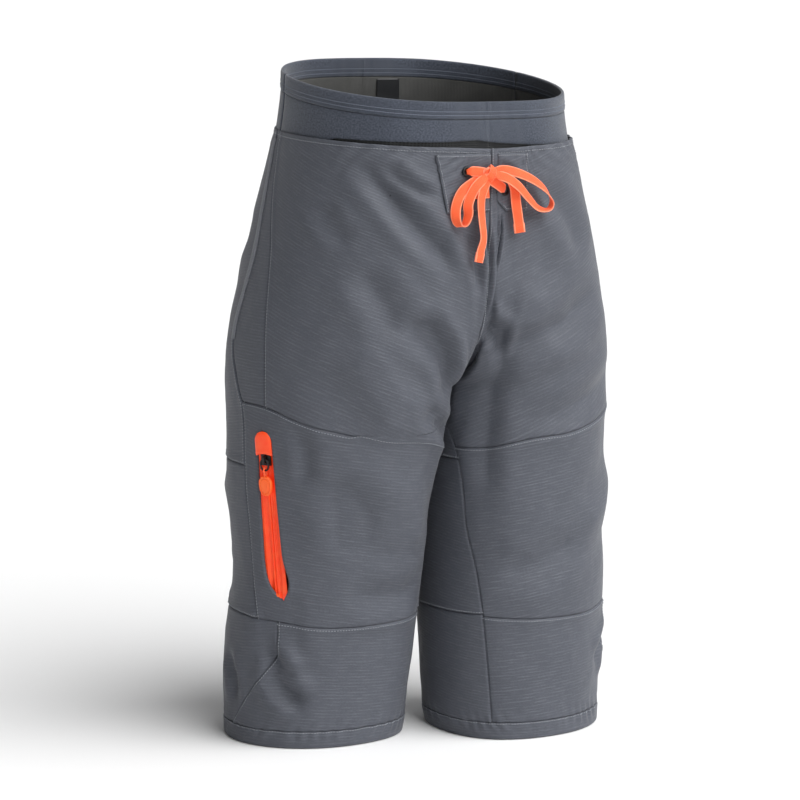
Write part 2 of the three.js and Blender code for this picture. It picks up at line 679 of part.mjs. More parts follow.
function addSlider(slider, coilTop, tapeBottom) {
  const under = coilTop + slideClearance;
  const over = under + sliderPlate;
  const low = tapeBottom - slideClearance;
  const web = coilGap / 2 - 0.3;
  const wide = sliderWidth / 2;
  const narrow = wide - 0.6;
  const base = low - sliderPlate;
  const outline = [[-narrow, base], [narrow, base], [narrow, low], [web, low], [web, under],
    [wide, under], [wide, over], [-wide, over], [-wide, under], [-web, under], [-web, low],
    [-narrow, low]];
  let body = solidOf(bar(outline, -sliderLength / 2, sliderLength / 2));
  const bridgeRise = ringHeight + 1.7;
  const hole = ringWire + 0.5;
  const bridge = new THREE.Shape();
  bridge.moveTo(-4.2, -0.5);
  bridge.lineTo(4.2, -0.5);
  bridge.lineTo(2.6, bridgeRise);
  bridge.lineTo(-2.6, bridgeRise);
  const bore = new THREE.Path();
  bore.absarc(0, ringHeight, hole, 0, 2 * Math.PI, true);
  bridge.holes.push(bore);
  const arch = new THREE.ExtrudeGeometry(bridge, { depth: 2.4, bevelEnabled: false, curveSegments: 4 });
  arch.translate(0, 0, -1.2);
  arch.rotateY(-Math.PI / 2);
  body = body.add(solidOf(arch.translate(0, over, 0)));
  addPart('zip_slider', geometryOf(body), darkColour, slider, 0.4, 0.4);

  // The ring hangs down through the bridge; the cord loop and the tab hang from the ring.
  const pull = new THREE.Group();
  pull.position.y = over + ringHeight;
  slider.add(pull);
  const ring = new THREE.TorusGeometry(ringRadius, ringWire, 6, 18);
  ring.rotateX(Math.PI / 2).translate(0, 0, -ringRadius);
  addPart('pull_ring', ring, darkColour, pull, 0.4, 0.4);
  const cordRadius = 0.8;
  const ringEnd = -2 * ringRadius;
  const cordLow = ringEnd - 5.4;
  const loopPoints = [[0, 1, cordLow], [0, 1.7, ringEnd - 1.5], [0, 1.9, ringEnd + 0.2],
    [0, 0, ringEnd + 2.3], [0, -1.9, ringEnd + 0.2], [0, -1.7, ringEnd - 1.5], [0, -1, cordLow]];
  const loop = tube(loopPoints.map((p) => new THREE.Vector3(...p)), cordRadius, 14, 6);
  addPart('pull_cord', loop, orangeColour, pull);
  const tab = new THREE.Shape();
  const halfTab = tabWidth / 2;
  const tabTop = cordLow - 0.3;
  tab.moveTo(-2.6, tabTop);
  tab.lineTo(-halfTab, tabTop - 4);
  tab.lineTo(-halfTab, tabTop - tabLength + halfTab);
  tab.absarc(0, tabTop - tabLength + halfTab, halfTab, Math.PI, 2 * Math.PI, false);
  tab.lineTo(halfTab, tabTop - 4);
  tab.lineTo(2.6, tabTop);
  const tabPlate = plate(tab, tabLift - tabThickness / 2, tabLift + tabThickness / 2);
  addPart('pull_tab', tabPlate, orangeColour, pull, 0.5);
}

function addThighPocketBag() {
  const side = -1;
  const depth = 6;
  addPart('thigh_pocket_bag', panel({
    side, front: constant(0.345), back: (z) => sideSeam(z) + 0.016,
    bottom: constant(kneeSeamHeight + 10), top: constant(crotchHeight - 26), columns: 9, rows: 9,
    out: -shellThickness - innerClearance, thickness: 0.8,
    bulge: (u, z, s, t) => {
      const acrossBag = smooth(4 * s) * smooth(8 * (1 - s));
      return -depth * acrossBag * smooth(11 * t) * smooth(11 * (1 - t));
    },
  }), darkColour);
}

for (const side of [1, -1]) {
  addUpperPanels(side);
  addLegPanels(side);
  addHandPocket(side);
  addLiner(side);
  addPads(side);
}
addTailPad();
addWaistband();
addFly();
addEyelets();
addLace();
addZip();
addThighPocketBag();

export default parts;
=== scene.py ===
import math

import bmesh
import bpy
import numpy as np
from mathutils import Matrix, Vector


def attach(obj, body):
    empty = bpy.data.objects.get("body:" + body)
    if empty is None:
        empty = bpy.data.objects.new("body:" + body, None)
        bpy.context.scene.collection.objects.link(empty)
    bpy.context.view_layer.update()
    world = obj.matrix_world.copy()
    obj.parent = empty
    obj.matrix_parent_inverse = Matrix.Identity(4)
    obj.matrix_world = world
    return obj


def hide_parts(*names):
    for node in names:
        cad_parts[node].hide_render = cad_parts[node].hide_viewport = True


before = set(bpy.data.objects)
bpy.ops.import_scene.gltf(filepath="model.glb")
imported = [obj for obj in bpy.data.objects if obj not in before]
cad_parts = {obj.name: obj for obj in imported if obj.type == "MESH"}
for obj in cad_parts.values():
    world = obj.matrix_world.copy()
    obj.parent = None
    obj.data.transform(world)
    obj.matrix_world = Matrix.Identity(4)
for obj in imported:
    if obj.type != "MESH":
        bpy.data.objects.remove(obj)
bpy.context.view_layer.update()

mm = 0.001
scene = bpy.context.scene
scene.view_settings.view_transform = "Standard"

# Camera
cameraSetup = {
    "turn": -33.0,       # degrees round from the front, towards the wearer's right
    "distance": 2824.0,  # mm, level
    "height": 712.0,
    "aimDrop": 7.9,      # degrees below level
    "roll": 0.5,
    "shiftRight": -20.0,
    "lens": 133.4,
}


def addCamera(setup):
    turn, drop = math.radians(setup["turn"]), math.radians(setup["aimDrop"])
    right = Vector((math.cos(turn), math.sin(turn), 0))
    level = Vector((-math.sin(turn), math.cos(turn), 0))
    forward = level * math.cos(drop) - Vector((0, 0, 1)) * math.sin(drop)
    up = right.cross(forward)
    roll = math.radians(setup["roll"])
    leanRight = right * math.cos(roll) + up * math.sin(roll)
    leanUp = up * math.cos(roll) - right * math.sin(roll)
    place = -level * setup["distance"] + right * setup["shiftRight"]
    place.z = setup["height"]
    camera = bpy.data.objects.new("camera", bpy.data.cameras.new("camera"))
    camera.data.lens = setup["lens"]
    camera.data.clip_end = 2000
    axes = Matrix((leanRight, leanUp, -forward)).transposed()
    camera.matrix_world = Matrix.Translation(place * mm) @ axes.to_4x4()
    scene.collection.objects.link(camera)
    scene.camera = camera


addCamera(cameraSetup)

# The body's surface, in mm
body = {
    "crotch": 346, "waist": 578, "coverSeam": 609, "rim": 627, "rimDip": 7,
    "hemBand": 16.5, "knee": 118, "backSeam": 270,
    "tilt": 0.105, "shiftY": 1.6, "frontCrotchDepth": 110, "backCrotchDepth": 150,
    "stanceFade": 120, "shell": 1.5, "seamGap": 0.3, "sag": 5,
}
rise = body["waist"] - body["crotch"]

# Height, leg axis, outer half width, half depth, gap to the middle, stance, lead, squareness.
sections = np.array([
    [0, 93, 88, 76, 10, 34, 6, 0.82],
    [body["crotch"] * 0.31, 91, 94, 82, 2, 30, 4, 0.8],
    [body["crotch"] * 0.6, 87, 99, 92, 1.5, 22, 2, 0.78],
    [body["crotch"] * 0.89, 83, 105, 104, 0.8, 12, 0, 0.76],
    [body["crotch"], 80, 109, 110, 0, 8, 0, 0.76],
    [body["crotch"] + rise * 0.27, 70, 114, 120, 0, 4, 0, 0.85],
    [body["crotch"] + rise * 0.61, 56, 112, 124, 0, 0, 0, 0.95],
    [body["waist"], 42, 102, 118, 0, 0, 0, 1],
    [body["waist"] + 35, 38, 103, 113, 0, 0, 0, 1],
    [body["waist"] + 70, 36, 104, 112, 0, 0, 0, 1],
])


def smooth(t):
    t = np.clip(t, 0, 1)
    return t * t * (3 - 2 * t)


def mix(a, b, t):
    return a + (b - a) * t


def curveThrough(pairs):
    x, y = np.array(pairs, float).T
    slope = np.diff(y) / np.diff(x)
    inner = np.where(slope[:-1] * slope[1:] <= 0, 0, (slope[:-1] + slope[1:]) / 2)
    tangent = np.concatenate([slope[:1], inner, slope[-1:]])

    def at(v):
        v = np.asarray(v, float)
        i = np.clip(np.searchsorted(x, v) - 1, 0, len(x) - 2)
        width = x[i + 1] - x[i]
        t = np.clip((v - x[i]) / width, 0, 1)
        a = (1 + 2 * t) * (1 - t) ** 2 * y[i] + t * t * (3 - 2 * t) * y[i + 1]
        b = t * (1 - t) ** 2 * tangent[i] + t * t * (t - 1) * tangent[i + 1]
        return a + b * width
    return at


sectionColumns = [curveThrough(sections[:, [0, k]]) for k in range(1, 8)]
inseam = curveThrough([[0, 0.127], [68, 0.12], [126, 0.11], [160, 0.098], [209, 0.072],
                       [280, 0.058], [346, 0]])
sideFrontSeam = curveThrough([[322, 0.455], [400, 0.47], [470, 0.495], [519, 0.52],
                              [539, 0.53], [578, 0.545]])
sideSeam = curveThrough([[126, 0.445], [185, 0.468], [229, 0.482], [270, 0.494], [328, 0.503]])
pocketLine = curveThrough([[328, 0.503], [376, 0.535], [468, 0.536], [518, 0.546], [578, 0.56]])
thighSeam = curveThrough([[0, 282], [0.115, 283], [0.2, 292], [0.27, 297], [0.32, 304],
                          [0.39, 315], [0.455, 328], [0.51, 330]])
kneeSeam = curveThrough([[0.05, 123], [0.2, 118], [0.3, 117], [0.4, 122], [0.5, 126],
                         [0.8, 120], [1.15, 123]])
dartSeam = curveThrough([[0, 0.53], [20, 0.503], [52, 0.455], [70, 0.427], [96, 0.4], [130, 0.405]])


def pocketEdge(z):
    return np.where(z < 328, sideSeam(z), pocketLine(z))


def shellPoint(side, turn, z):
    turn, z = np.broadcast_arrays(np.asarray(turn, float), np.asarray(z, float))
    u = np.where(z < body["crotch"], turn - np.floor(turn), np.clip(turn, 0, 1))
    axis, width, depth, gap, stance, lead, square = [column(z) for column in sectionColumns]
    angle = 2 * math.pi * u
    inward = np.cos(angle) > 0
    power = np.where(inward, square, np.where(u < 0.5, 1, (1 + square) / 2))
    across = np.sign(np.cos(angle)) * np.abs(np.cos(angle)) ** power
    along = np.abs(np.sin(angle)) ** power
    climb = (z - body["crotch"]) / np.where(u < 0.5, body["frontCrotchDepth"], body["backCrotchDepth"])
    share = np.sqrt(1 - (1 - np.clip(climb, 0, 1)) ** 2)
    reach = np.where(inward, share + (1 - share) * along, along)
    fade = smooth((z - body["crotch"] + body["stanceFade"]) / body["stanceFade"]) * np.clip(across, 0, 1)
    centre = lead - side * stance * (1 - fade)
    x = axis - np.where(inward, axis - gap, width) * across
    y = centre + np.where(u < 0.5, -1, 1) * depth * reach
    tilt = body["tilt"] * np.clip((z - body["waist"] + 90) / 160, 0, 1)
    return np.stack([side * x, y + body["shiftY"], z + tilt * y], -1)


def unit(v):
    return v / np.maximum(np.linalg.norm(v, axis=-1, keepdims=True), 1e-9)


def shellNormal(side, turn, z):
    turn, z = np.broadcast_arrays(np.asarray(turn, float), np.asarray(z, float))
    u = np.where(z < body["crotch"] - 2, turn, np.clip(turn, 0.03, 0.97))
    alongU = shellPoint(side, u + 0.012, z) - shellPoint(side, u - 0.012, z)
    alongZ = shellPoint(side, u, z + 3) - shellPoint(side, u, z - 3)
    return unit(np.cross(alongU, alongZ)) * side


def waistPoint(turn, z, out):
    turn, z = np.broadcast_arrays(np.asarray(turn, float), np.asarray(z, float))
    t = turn - np.floor(turn)
    u = np.where(t <= 0.5, 2 * t, 2 - 2 * t)
    out = np.asarray(out)[..., None]
    left = shellPoint(1, u, z) + shellNormal(1, u, z) * out
    right = shellPoint(-1, u, z) + shellNormal(-1, u, z) * out
    return np.where((t <= 0.5)[..., None], left, right)


def frontTurnAt(z, x):
    axis, width, square = (sectionColumns[k](z) for k in (0, 1, 6))
    near = np.arccos(np.clip((axis - x) / axis, 0, 1) ** (1 / square))
    far = np.arccos(np.clip((axis - x) / width, -1, 1))
    return np.where(x < axis, near, far) / (2 * math.pi)


def outsideTurnAt(side, z, y):
    depth, stance, lead = (sectionColumns[k](z) for k in (2, 4, 5))
    return 0.5 - np.arcsin((lead - side * stance + body["shiftY"] - y) / depth) / (2 * math.pi)


def sagAt(u, z):
    return body["sag"] * smooth((z - body["waist"] + 60) / 60) * smooth((0.36 - u) / 0.14)


# The opening for the zip in the right thigh, in mm.
window = {"centreY": -14.4, "width": 17.0, "top": 304.0, "bottom": 146.0}

# The pads. The tailbone pad lies across the middle, so its turn is measured round the whole waist.
padCuts = {
    "hip": dict(turn=0.49, height=445, halfWidth=0.085, halfHeight=60, edge=2.5, crown=10.5),
    "thigh": dict(turn=0.27, height=258, halfWidth=0.075, halfHeight=52, edge=2, crown=6.5),
    "tailbone": dict(turn=0.5, height=452, halfWidth=0.052, halfHeight=52, edge=2.5, crown=10),
}
# Where a pad lies close under the shell: turn round one half, height, half width and half height.
padRooms = [(cut["turn"] * share, cut["height"], cut["halfWidth"] * share, cut["halfHeight"])
            for cut, share in zip(padCuts.values(), (1, 1, 2))]

# How the cloth hangs. Each fold: the way it runs, [turn, height] from end to end, its half width and
# its depth in mm (a hollow is negative). They are laid on one half or on both.
folds = {
    "right": [
        ([[0.395, 566], [0.34, 533], [0.29, 497], [0.2, 446]], 8, -4.2),
        ([[0.355, 562], [0.315, 541], [0.27, 523]], 5, -3.2),
        ([[0.43, 520], [0.4, 495], [0.37, 480]], 7, -1.8),
        ([[0.36, 466], [0.307, 422], [0.283, 390]], 10, -3.0),
        ([[0.285, 422], [0.24, 398], [0.2, 379], [0.173, 356], [0.145, 332]], 10, -5.4),
        ([[0.235, 327], [0.15, 306], [0.08, 296]], 8, -2.8),
        ([[0.345, 400], [0.273, 337], [0.215, 296]], 17, 3.8),
        ([[0.2, 500], [0.14, 470], [0.1, 430]], 10, -2.4),
        ([[0.09, 500], [0.06, 450], [0.045, 395]], 9, -2.2),
        ([[0.43, 98], [0.395, 82], [0.36, 64]], 7, -3.4),
        ([[0.425, 88], [0.39, 62], [0.34, 40]], 9, -3.8),
        ([[0.40, 88], [0.37, 62], [0.33, 52]], 8, 2.2),
        ([[0.3, 150], [0.2, 142], [0.13, 150]], 12, -1.8),
        ([[0.34, 270], [0.3, 225], [0.29, 180]], 15, -2.8),
        ([[0.27, 270], [0.2, 225], [0.17, 180]], 20, 2.2),
        ([[0.41, 318], [0.385, 290], [0.375, 250]], 7, -2.0),
    ],
    "left": [
        ([[0.03, 396], [0.036, 366], [0.032, 336], [0.02, 300]], 9, -4.2),
        ([[0.14, 436], [0.135, 358], [0.125, 298], [0.115, 250], [0.09, 211]], 12, -1.6),
        ([[0.085, 512], [0.07, 486], [0.03, 458]], 4, -3.4),
        ([[0.03, 404], [0.118, 390], [0.108, 366]], 9, -5.2),
        ([[0.14, 450], [0.22, 400], [0.26, 350]], 24, 2.6),
        ([[0.25, 545], [0.3, 505], [0.33, 455]], 11, -2.4),
        ([[0.36, 440], [0.27, 402], [0.17, 384], [0.11, 372]], 13, -3.2),
        ([[0.42, 350], [0.3, 325], [0.2, 300]], 12, -2.2),
        ([[0.43, 98], [0.4, 80], [0.35, 60]], 8, -3.0),
        ([[0.30, 200], [0.22, 170], [0.14, 160]], 14, -2.2),
        ([[0.45, 260], [0.36, 215], [0.28, 200]], 16, 2.0),
    ],
    "both": [
        ([[0.6, 360], [0.72, 334], [0.88, 312]], 10, -3.8),
        ([[0.62, 395], [0.74, 372], [0.9, 352]], 14, 2.6),
        ([[0.58, 500], [0.68, 455], [0.8, 420]], 13, -2.4),
        ([[0.56, 160], [0.7, 140], [0.86, 150]], 10, -3.0),
        ([[0.58, 132], [0.72, 108], [0.86, 100]], 12, -2.6),
        ([[0.62, 70], [0.7, 52], [0.8, 46]], 11, -2.0),
        ([[0.53, 90], [0.505, 62], [0.5, 34]], 7, -2.4),
        ([[0.57, 250], [0.66, 226], [0.78, 222]], 14, 2.2),
        ([[0.93, 300], [0.95, 240], [0.955, 190]], 13, -2.4),
    ],
}
# Broad hollows: turn, height, half width round, half height, depth.
hollows = {"right": [(0.58, 160, 62, 58, -9.0), (0.52, 500, 30, 70, -2.5)],
           "left": [(0.57, 168, 50, 40, -3.0)]}
turnLength = 560  # mm round one half, for measuring folds
# How strongly each kind of unevenness shows, and how far the cloth may sink or stand, in mm.
hang = {
    "fold": 2.2, "sway": 1.2, "ripple": 0.55, "crease": 0.3, "grain": 0.12, "waistPucker": 1.1,
    "hemPucker": 1.2, "deepest": 9.0, "overPad": 3.3, "proudest": 4.8, "zipMargin": 30, "pullRoom": 2.4,
}


def foldAt(u, z, fold):
    points, width, depth = fold
    path = np.array(points, float) * [turnLength, 1]
    step = np.diff(path, axis=0)
    lengths = np.linalg.norm(step, axis=1)
    start = np.concatenate([[0], np.cumsum(lengths)])
    place = np.stack([u * turnLength, z], -1)
    best = np.full(u.shape, 1e9)
    along = np.zeros(u.shape)
    for i, (move, long) in enumerate(zip(step, lengths)):
        t = np.clip(((place - path[i]) @ move) / long ** 2, 0, 1)
        away = np.linalg.norm(place - path[i] - t[..., None] * move, axis=-1)
        closer = away < best
        best = np.where(closer, away, best)
        along = np.where(closer, (start[i] + t * long) / start[-1], along)
    ends = smooth(along / 0.3) * smooth((1 - along) / 0.3)
    hollow = np.exp(-(best / width) ** 1.5)
    banks = np.exp(-((best - 2.0 * width) / width) ** 2)
    return depth * ends * (hollow - 0.45 * banks)


def wander(x, y, around, seed):
    grid = np.random.default_rng(seed).uniform(-1, 1, (around, 97))
    xi, yi = np.floor(x).astype(int), np.floor(y).astype(int)
    fx, fy = x - xi, y - yi
    fx = fx ** 3 * (fx * (6 * fx - 15) + 10)
    fy = fy ** 3 * (fy * (6 * fy - 15) + 10)

    def corner(i, j):
        return grid[(xi + i) % around, (yi + j) % 97]
    return mix(mix(corner(0, 0), corner(1, 0), fx), mix(corner(0, 1), corner(1, 1), fx), fy)


def drapeAt(side, turn, z):
    turn, z = np.broadcast_arrays(np.asarray(turn, float), np.asarray(z, float))
    u = np.where(z < body["crotch"], turn - np.floor(turn), np.clip(turn, 0, 1))
    seed = 10 if side > 0 else 40
    total = np.zeros(u.shape)
    for fold in folds["left" if side > 0 else "right"] + folds["both"]:
        total += hang["fold"] * foldAt(u, z, fold)
    for turnAt, heightAt, wide, high, depth in hollows["left" if side > 0 else "right"]:
        total += depth * np.exp(-((u - turnAt) * turnLength / wide) ** 2 - ((z - heightAt) / high) ** 2)
    sway = u * 9 + z / 210
    total += hang["sway"] * wander(sway, z / 95, 9, seed)
    total += hang["ripple"] * wander(u * 16 + z / 120, z / 46, 16, seed + 1)
    total += hang["crease"] * wander(u * 38 - z / 60, z / 26, 38, seed + 2)
    total += hang["grain"] * wander(u * 90, z / 9, 90, seed + 3)
    pucker = np.sin(2 * math.pi * (u * 34 + z / 21 + 0.8 * wander(u * 12, z / 30, 12, seed + 4)))
    total += (hang["waistPucker"] * pucker * smooth((z - 528) / 44) * smooth((0.5 - u) / 0.1)
              * smooth((u - 0.16) / 0.1))
    hemPucker = np.sin(2 * math.pi * (u * 44 + z / 26 + 0.9 * wander(u * 14, z / 20, 14, seed + 5)))
    strength = 0.5 + 0.5 * wander(u * 9, z / 50, 9, seed + 6)
    total += hang["hemPucker"] * hemPucker * np.exp(-((z - 15) / 11) ** 2) * strength
    total -= 1.5 * smooth((z - 562) / 14) * smooth((u - 0.22) / 0.12)
    middle = smooth(np.minimum(u, 1 - u) / 0.05)
    total *= np.where(z < body["crotch"], 1 - (1 - middle) * smooth((z - 316) / 30), middle)
    total = np.where(z < 12, total * smooth(z / 12), total)
    if side < 0:
        away = np.abs(u - outsideTurnAt(-1, z, window["centreY"])) * turnLength
        beside = smooth((hang["zipMargin"] - away) / 16)
        total = total * (1 - beside * smooth((z - 128) / 16) * smooth((326 - z) / 16))
        total -= hang["pullRoom"] * beside * smooth((z - 82) / 16) * smooth((158 - z) / 14)
    overPads = np.zeros(u.shape)
    for turnAt, heightAt, wide, high in padRooms:
        near = np.minimum(1.5 - np.abs(u - turnAt) / wide, 1.5 - np.abs(z - heightAt) / high)
        overPads = np.maximum(overPads, smooth(near / 0.4))
    return np.clip(total, -mix(hang["deepest"], hang["overPad"], overPads), hang["proudest"])


# Meshes from grids


def steps(length, size=3.1, edges=(0.5, 1.1, 1.9, 2.9, 4.1, 5.4, 6.8)):
    near = np.array([0, *edges])
    middle = length - 2 * near[-1]
    if middle <= size:
        return np.linspace(0, 1, max(3, int(length / 1.6)))
    inner = np.linspace(near[-1], length - near[-1], max(2, int(round(middle / size)) + 1))
    return np.concatenate([near[:-1], inner, (length - near[:-1])[::-1]]) / length


def meshFrom(name, points, faces, uv=None, faceSlots=None):
    mesh = bpy.data.meshes.new(name)
    mesh.from_pydata((points * mm).tolist(), [], faces.tolist() if hasattr(faces, "tolist") else faces)
    if uv is not None:
        layer = mesh.uv_layers.new(name="cloth")
        corners = np.empty(len(mesh.loops), int)
        mesh.loops.foreach_get("vertex_index", corners)
        layer.data.foreach_set("uv", (uv[corners] * mm).ravel())
    if faceSlots is not None:
        mesh.polygons.foreach_set("material_index", faceSlots)
    mesh.shade_smooth()
    piece = bpy.data.objects.new(name, mesh)
    scene.collection.objects.link(piece)
    return piece


def thinSolid(name, outer, inner, uv, wrap=False, skip=None, innerSlot=0):
    rows, wide = outer.shape[:2]
    columns = wide if wrap else wide - 1
    keep = np.ones((rows - 1, columns), bool) if skip is None else ~skip
    index = np.arange(rows * wide).reshape(rows, wide)
    if wrap:
        index = np.concatenate([index, index[:, :1]], 1)
    back = index + rows * wide
    quads, slots = [], []

    def add(a, b, c, d, slot=0):
        block = np.stack([a, b, c, d], -1).reshape(-1, 4)
        quads.append(block)
        slots.append(np.full(len(block), slot))
    a, b, c, d = index[:-1, :-1][keep], index[:-1, 1:][keep], index[1:, 1:][keep], index[1:, :-1][keep]
    add(a, b, c, d)
    a, b, c, d = back[:-1, :-1][keep], back[:-1, 1:][keep], back[1:, 1:][keep], back[1:, :-1][keep]
    add(a, d, c, b, innerSlot)
    padded = np.pad(keep, 1)
    if wrap:
        padded[:, 0], padded[:, -1] = padded[:, -2], padded[:, 1]
    inside = padded[1:-1, 1:-1]
    low = inside & ~padded[:-2, 1:-1]
    high = inside & ~padded[2:, 1:-1]
    left = inside & ~padded[1:-1, :-2]
    right = inside & ~padded[1:-1, 2:]
    add(back[:-1, :-1][low], back[:-1, 1:][low], index[:-1, 1:][low], index[:-1, :-1][low])
    add(back[1:, 1:][high], back[1:, :-1][high], index[1:, :-1][high], index[1:, 1:][high])
    add(back[1:, :-1][left], back[:-1, :-1][left], index[:-1, :-1][left], index[1:, :-1][left])
    add(back[:-1, 1:][right], back[1:, 1:][right], index[1:, 1:][right], index[:-1, 1:][right])
    faces, slots = np.concatenate(quads), np.concatenate(slots)
    points = np.concatenate([outer.reshape(-1, 3), inner.reshape(-1, 3)])
    p = points[faces]
    volume = np.einsum("ij,ij->i", p[:, 0], np.cross(p[:, 1], p[:, 2])).sum()
    volume += np.einsum("ij,ij->i", p[:, 0], np.cross(p[:, 2], p[:, 3])).sum()
    if volume < 0:
        faces = faces[:, ::-1]
    used, faces = np.unique(faces, return_inverse=True)
    faces = faces.reshape(-1, 4)
    allUv = np.concatenate([uv.reshape(-1, 2)] * 2)
    return meshFrom(name, points[used], faces, allUv[used], slots)


def outwards(piece):
    made = bmesh.new()
    made.from_mesh(piece.data)
    bmesh.ops.recalc_face_normals(made, faces=made.faces)
    made.to_mesh(piece.data)
    made.free()


def solidFrom(name, points, faces, uv):
    piece = meshFrom(name, points, faces, uv)
    outwards(piece)
    return piece


def tubeFaces(rings, around, closed=False):
    faces = []
    for k in range(rings if closed else rings - 1):
        ahead = (k + 1) % rings * around
        for j in range(around):
            following = (j + 1) % around
            faces.append([k * around + j, k * around + following, ahead + following, ahead + j])
    if not closed:
        faces.append(list(range(around))[::-1])
        faces.append([(rings - 1) * around + j for j in range(around)])
    return faces


def gridFaces(index):
    return np.stack([index[:-1, :-1], index[:-1, 1:], index[1:, 1:], index[1:, :-1]], -1).reshape(-1, 4)


def joinPieces(first, *others):
    bpy.ops.object.select_all(action="DESELECT")
    for piece in (first, *others):
        piece.select_set(True)
    bpy.context.view_layer.objects.active = first
    bpy.ops.object.join()
    return first


def settle(piece):
    # The mesh that the modifiers give takes the place of the one they work on.
    graph = bpy.context.evaluated_depsgraph_get()
    mesh = bpy.data.meshes.new_from_object(piece.evaluated_get(graph))
    piece.modifiers.clear()
    piece.data = mesh
    return mesh


def pointsOf(mesh):
    points = np.empty(len(mesh.vertices) * 3)
    mesh.vertices.foreach_get("co", points)
    return points.reshape(-1, 3)


def edgeDistances(points):
    across = np.linalg.norm(np.diff(points, axis=1), axis=-1)
    up = np.linalg.norm(np.diff(points, axis=0), axis=-1)
    front = np.concatenate([np.zeros((len(points), 1)), np.cumsum(across, 1)], 1)
    bottom = np.concatenate([np.zeros((1, points.shape[1])), np.cumsum(up, 0)], 0)
    return {"front": front, "back": front[:, -1:] - front, "bottom": bottom, "top": bottom[-1:] - bottom}


seamShapes = {
    "felled": lambda d: -0.95 * np.exp(-(d / 0.9) ** 2) + 0.42 * (smooth(d / 1.3) - smooth((d - 5.2) / 1.6)),
    "under": lambda d: -0.95 * np.exp(-(d / 0.9) ** 2) - 0.1 * np.exp(-(d / 3) ** 2),
    "hemmed": lambda d: -0.55 * np.exp(-(d / 0.8) ** 2),
    "folded": lambda d: 0.35 * (1 - smooth((d - 3) / 2)) - 0.5 * np.exp(-(d / 0.7) ** 2),
    "free": lambda d: 0 * d,
}
panels = {}


def turned(uv, degrees):
    a = math.radians(degrees)
    return np.stack([uv[..., 0] * math.cos(a) - uv[..., 1] * math.sin(a),
                     uv[..., 0] * math.sin(a) + uv[..., 1] * math.cos(a)], -1)


def clothPanel(name, side, front, back, bottom, top, seams, size=(200, 200), out=0.0, thickness=None,
               grain=0, bulge=None, gap=None, drape=True, grid=None, skip=None, innerSlot=1, coarse=3.1):
    gap = body["seamGap"] if gap is None else gap
    thickness = body["shell"] if thickness is None else thickness
    if grid is None:
        s, t = np.meshgrid(steps(size[0], coarse), steps(size[1], coarse))
        z = mix(bottom(0.3), top(0.3), t)
        for _ in range(8):
            u = mix(front(z), back(z), s)
            z = mix(bottom(u) + gap / 2, top(u) - gap / 2, t)
        width, depth = sectionColumns[1](z), sectionColumns[2](z)
        trim = gap / 2 / (2 * math.pi * np.sqrt((width ** 2 + depth ** 2) / 2))
        u = np.clip(u, front(z) + trim, back(z) - trim)
    else:
        u, z = grid
    base, normal = shellPoint(side, u, z), shellNormal(side, u, z)
    away = edgeDistances(base)
    raised = np.full(u.shape, float(out))
    for edge, style in seams.items():
        raised += seamShapes[style](away[edge])
    if drape:
        raised += drapeAt(side, u, z)
    if bulge is not None:
        raised += bulge(u, z)
    outer = base + normal * raised[..., None]
    inner = outer - normal * thickness
    for layer in (outer, inner):
        layer[..., 0] = side * np.maximum(side * layer[..., 0], gap / 2)
    middle = away["front"][:, outer.shape[1] // 2][:, None]
    uv = turned(np.stack([away["front"] - middle, z], -1), grain)
    piece = thinSolid(name, outer, inner, uv, skip=skip, innerSlot=innerSlot)
    panels[name] = {"outer": outer, "normal": normal, "away": away, "turn": u, "height": z}
    return piece


def alongEdge(name, edge, distance, start=0.0, stop=1.0, lift=0.14):
    panel = panels[name]
    outer, normal, away = panel["outer"], panel["normal"], panel["away"][edge]
    if edge in ("bottom", "top"):
        outer, normal, away = outer.transpose(1, 0, 2), normal.transpose(1, 0, 2), away.T
    lines = []
    for field in (outer, normal):
        rows = []
        for k in range(len(field)):
            order = np.argsort(away[k])
            rows.append([np.interp(distance, away[k][order], field[k, order, c]) for c in range(3)])
        lines.append(np.array(rows))
    first, last = int(start * (len(outer) - 1)), int(stop * (len(outer) - 1)) + 1
    points, normals = lines[0][first:last], unit(lines[1][first:last])
    return points + normals * lift, normals


print("surface ready")

# Materials


def newMaterial(name, roughness, **constants):
    material = bpy.data.materials.new(name)
    material.use_nodes = True
    tree = material.node_tree
    shader = tree.nodes["Principled BSDF"]
    shader.inputs["Roughness"].default_value = roughness
    for socket, value in constants.items():
        shader.inputs[socket.replace("_", " ")].default_value = value
    return material, tree, shader


def node(tree, kind, settings=None, **inputs):
    made = tree.nodes.new("ShaderNode" + kind)
    for key, value in (settings or {}).items():
        setattr(made, key, value)
    for key, value in inputs.items():
        place = int(key[1:]) if key[0] == "i" and key[1:].isdigit() else key.replace("_", " ")
        socket = made.inputs[place]
        if isinstance(value, bpy.types.NodeSocket):
            tree.links.new(value, socket)
        else:
            socket.default_value = value
    return made


def colour(red, green, blue):
    return [*[(c / 255 / 12.92 if c < 11 else ((c / 255 + 0.055) / 1.055) ** 2.4)
              for c in (red, green, blue)], 1]


def paintedGlow(shader, tone):
    # Painted light: the fluorescent orange parts get a faint glow of their own, so they look brighter than
    # the lamps alone make them.
    shader.inputs["Emission Color"].default_value = tone
    shader.inputs["Emission Strength"].default_value = 0.16


def coordinates(tree, useUv=True, scale=(1, 1, 1), degrees=0):
    source = node(tree, "TexCoord").outputs["UV" if useUv else "Object"]
    mapping = node(tree, "Mapping", Vector=source, Scale=scale, Rotation=(0, 0, math.radians(degrees)))
    return mapping.outputs["Vector"]


def bands(tree, vector, pitch, direction="Y", distortion=0.0, detailScale=1.0):
    return node(tree, "TexWave", {"wave_type": "BANDS", "bands_direction": direction, "wave_profile": "SIN"},
                Vector=vector, Scale=0.314159 / pitch, Distortion=distortion, Detail=1.0,
                Detail_Scale=detailScale).outputs["Fac"]


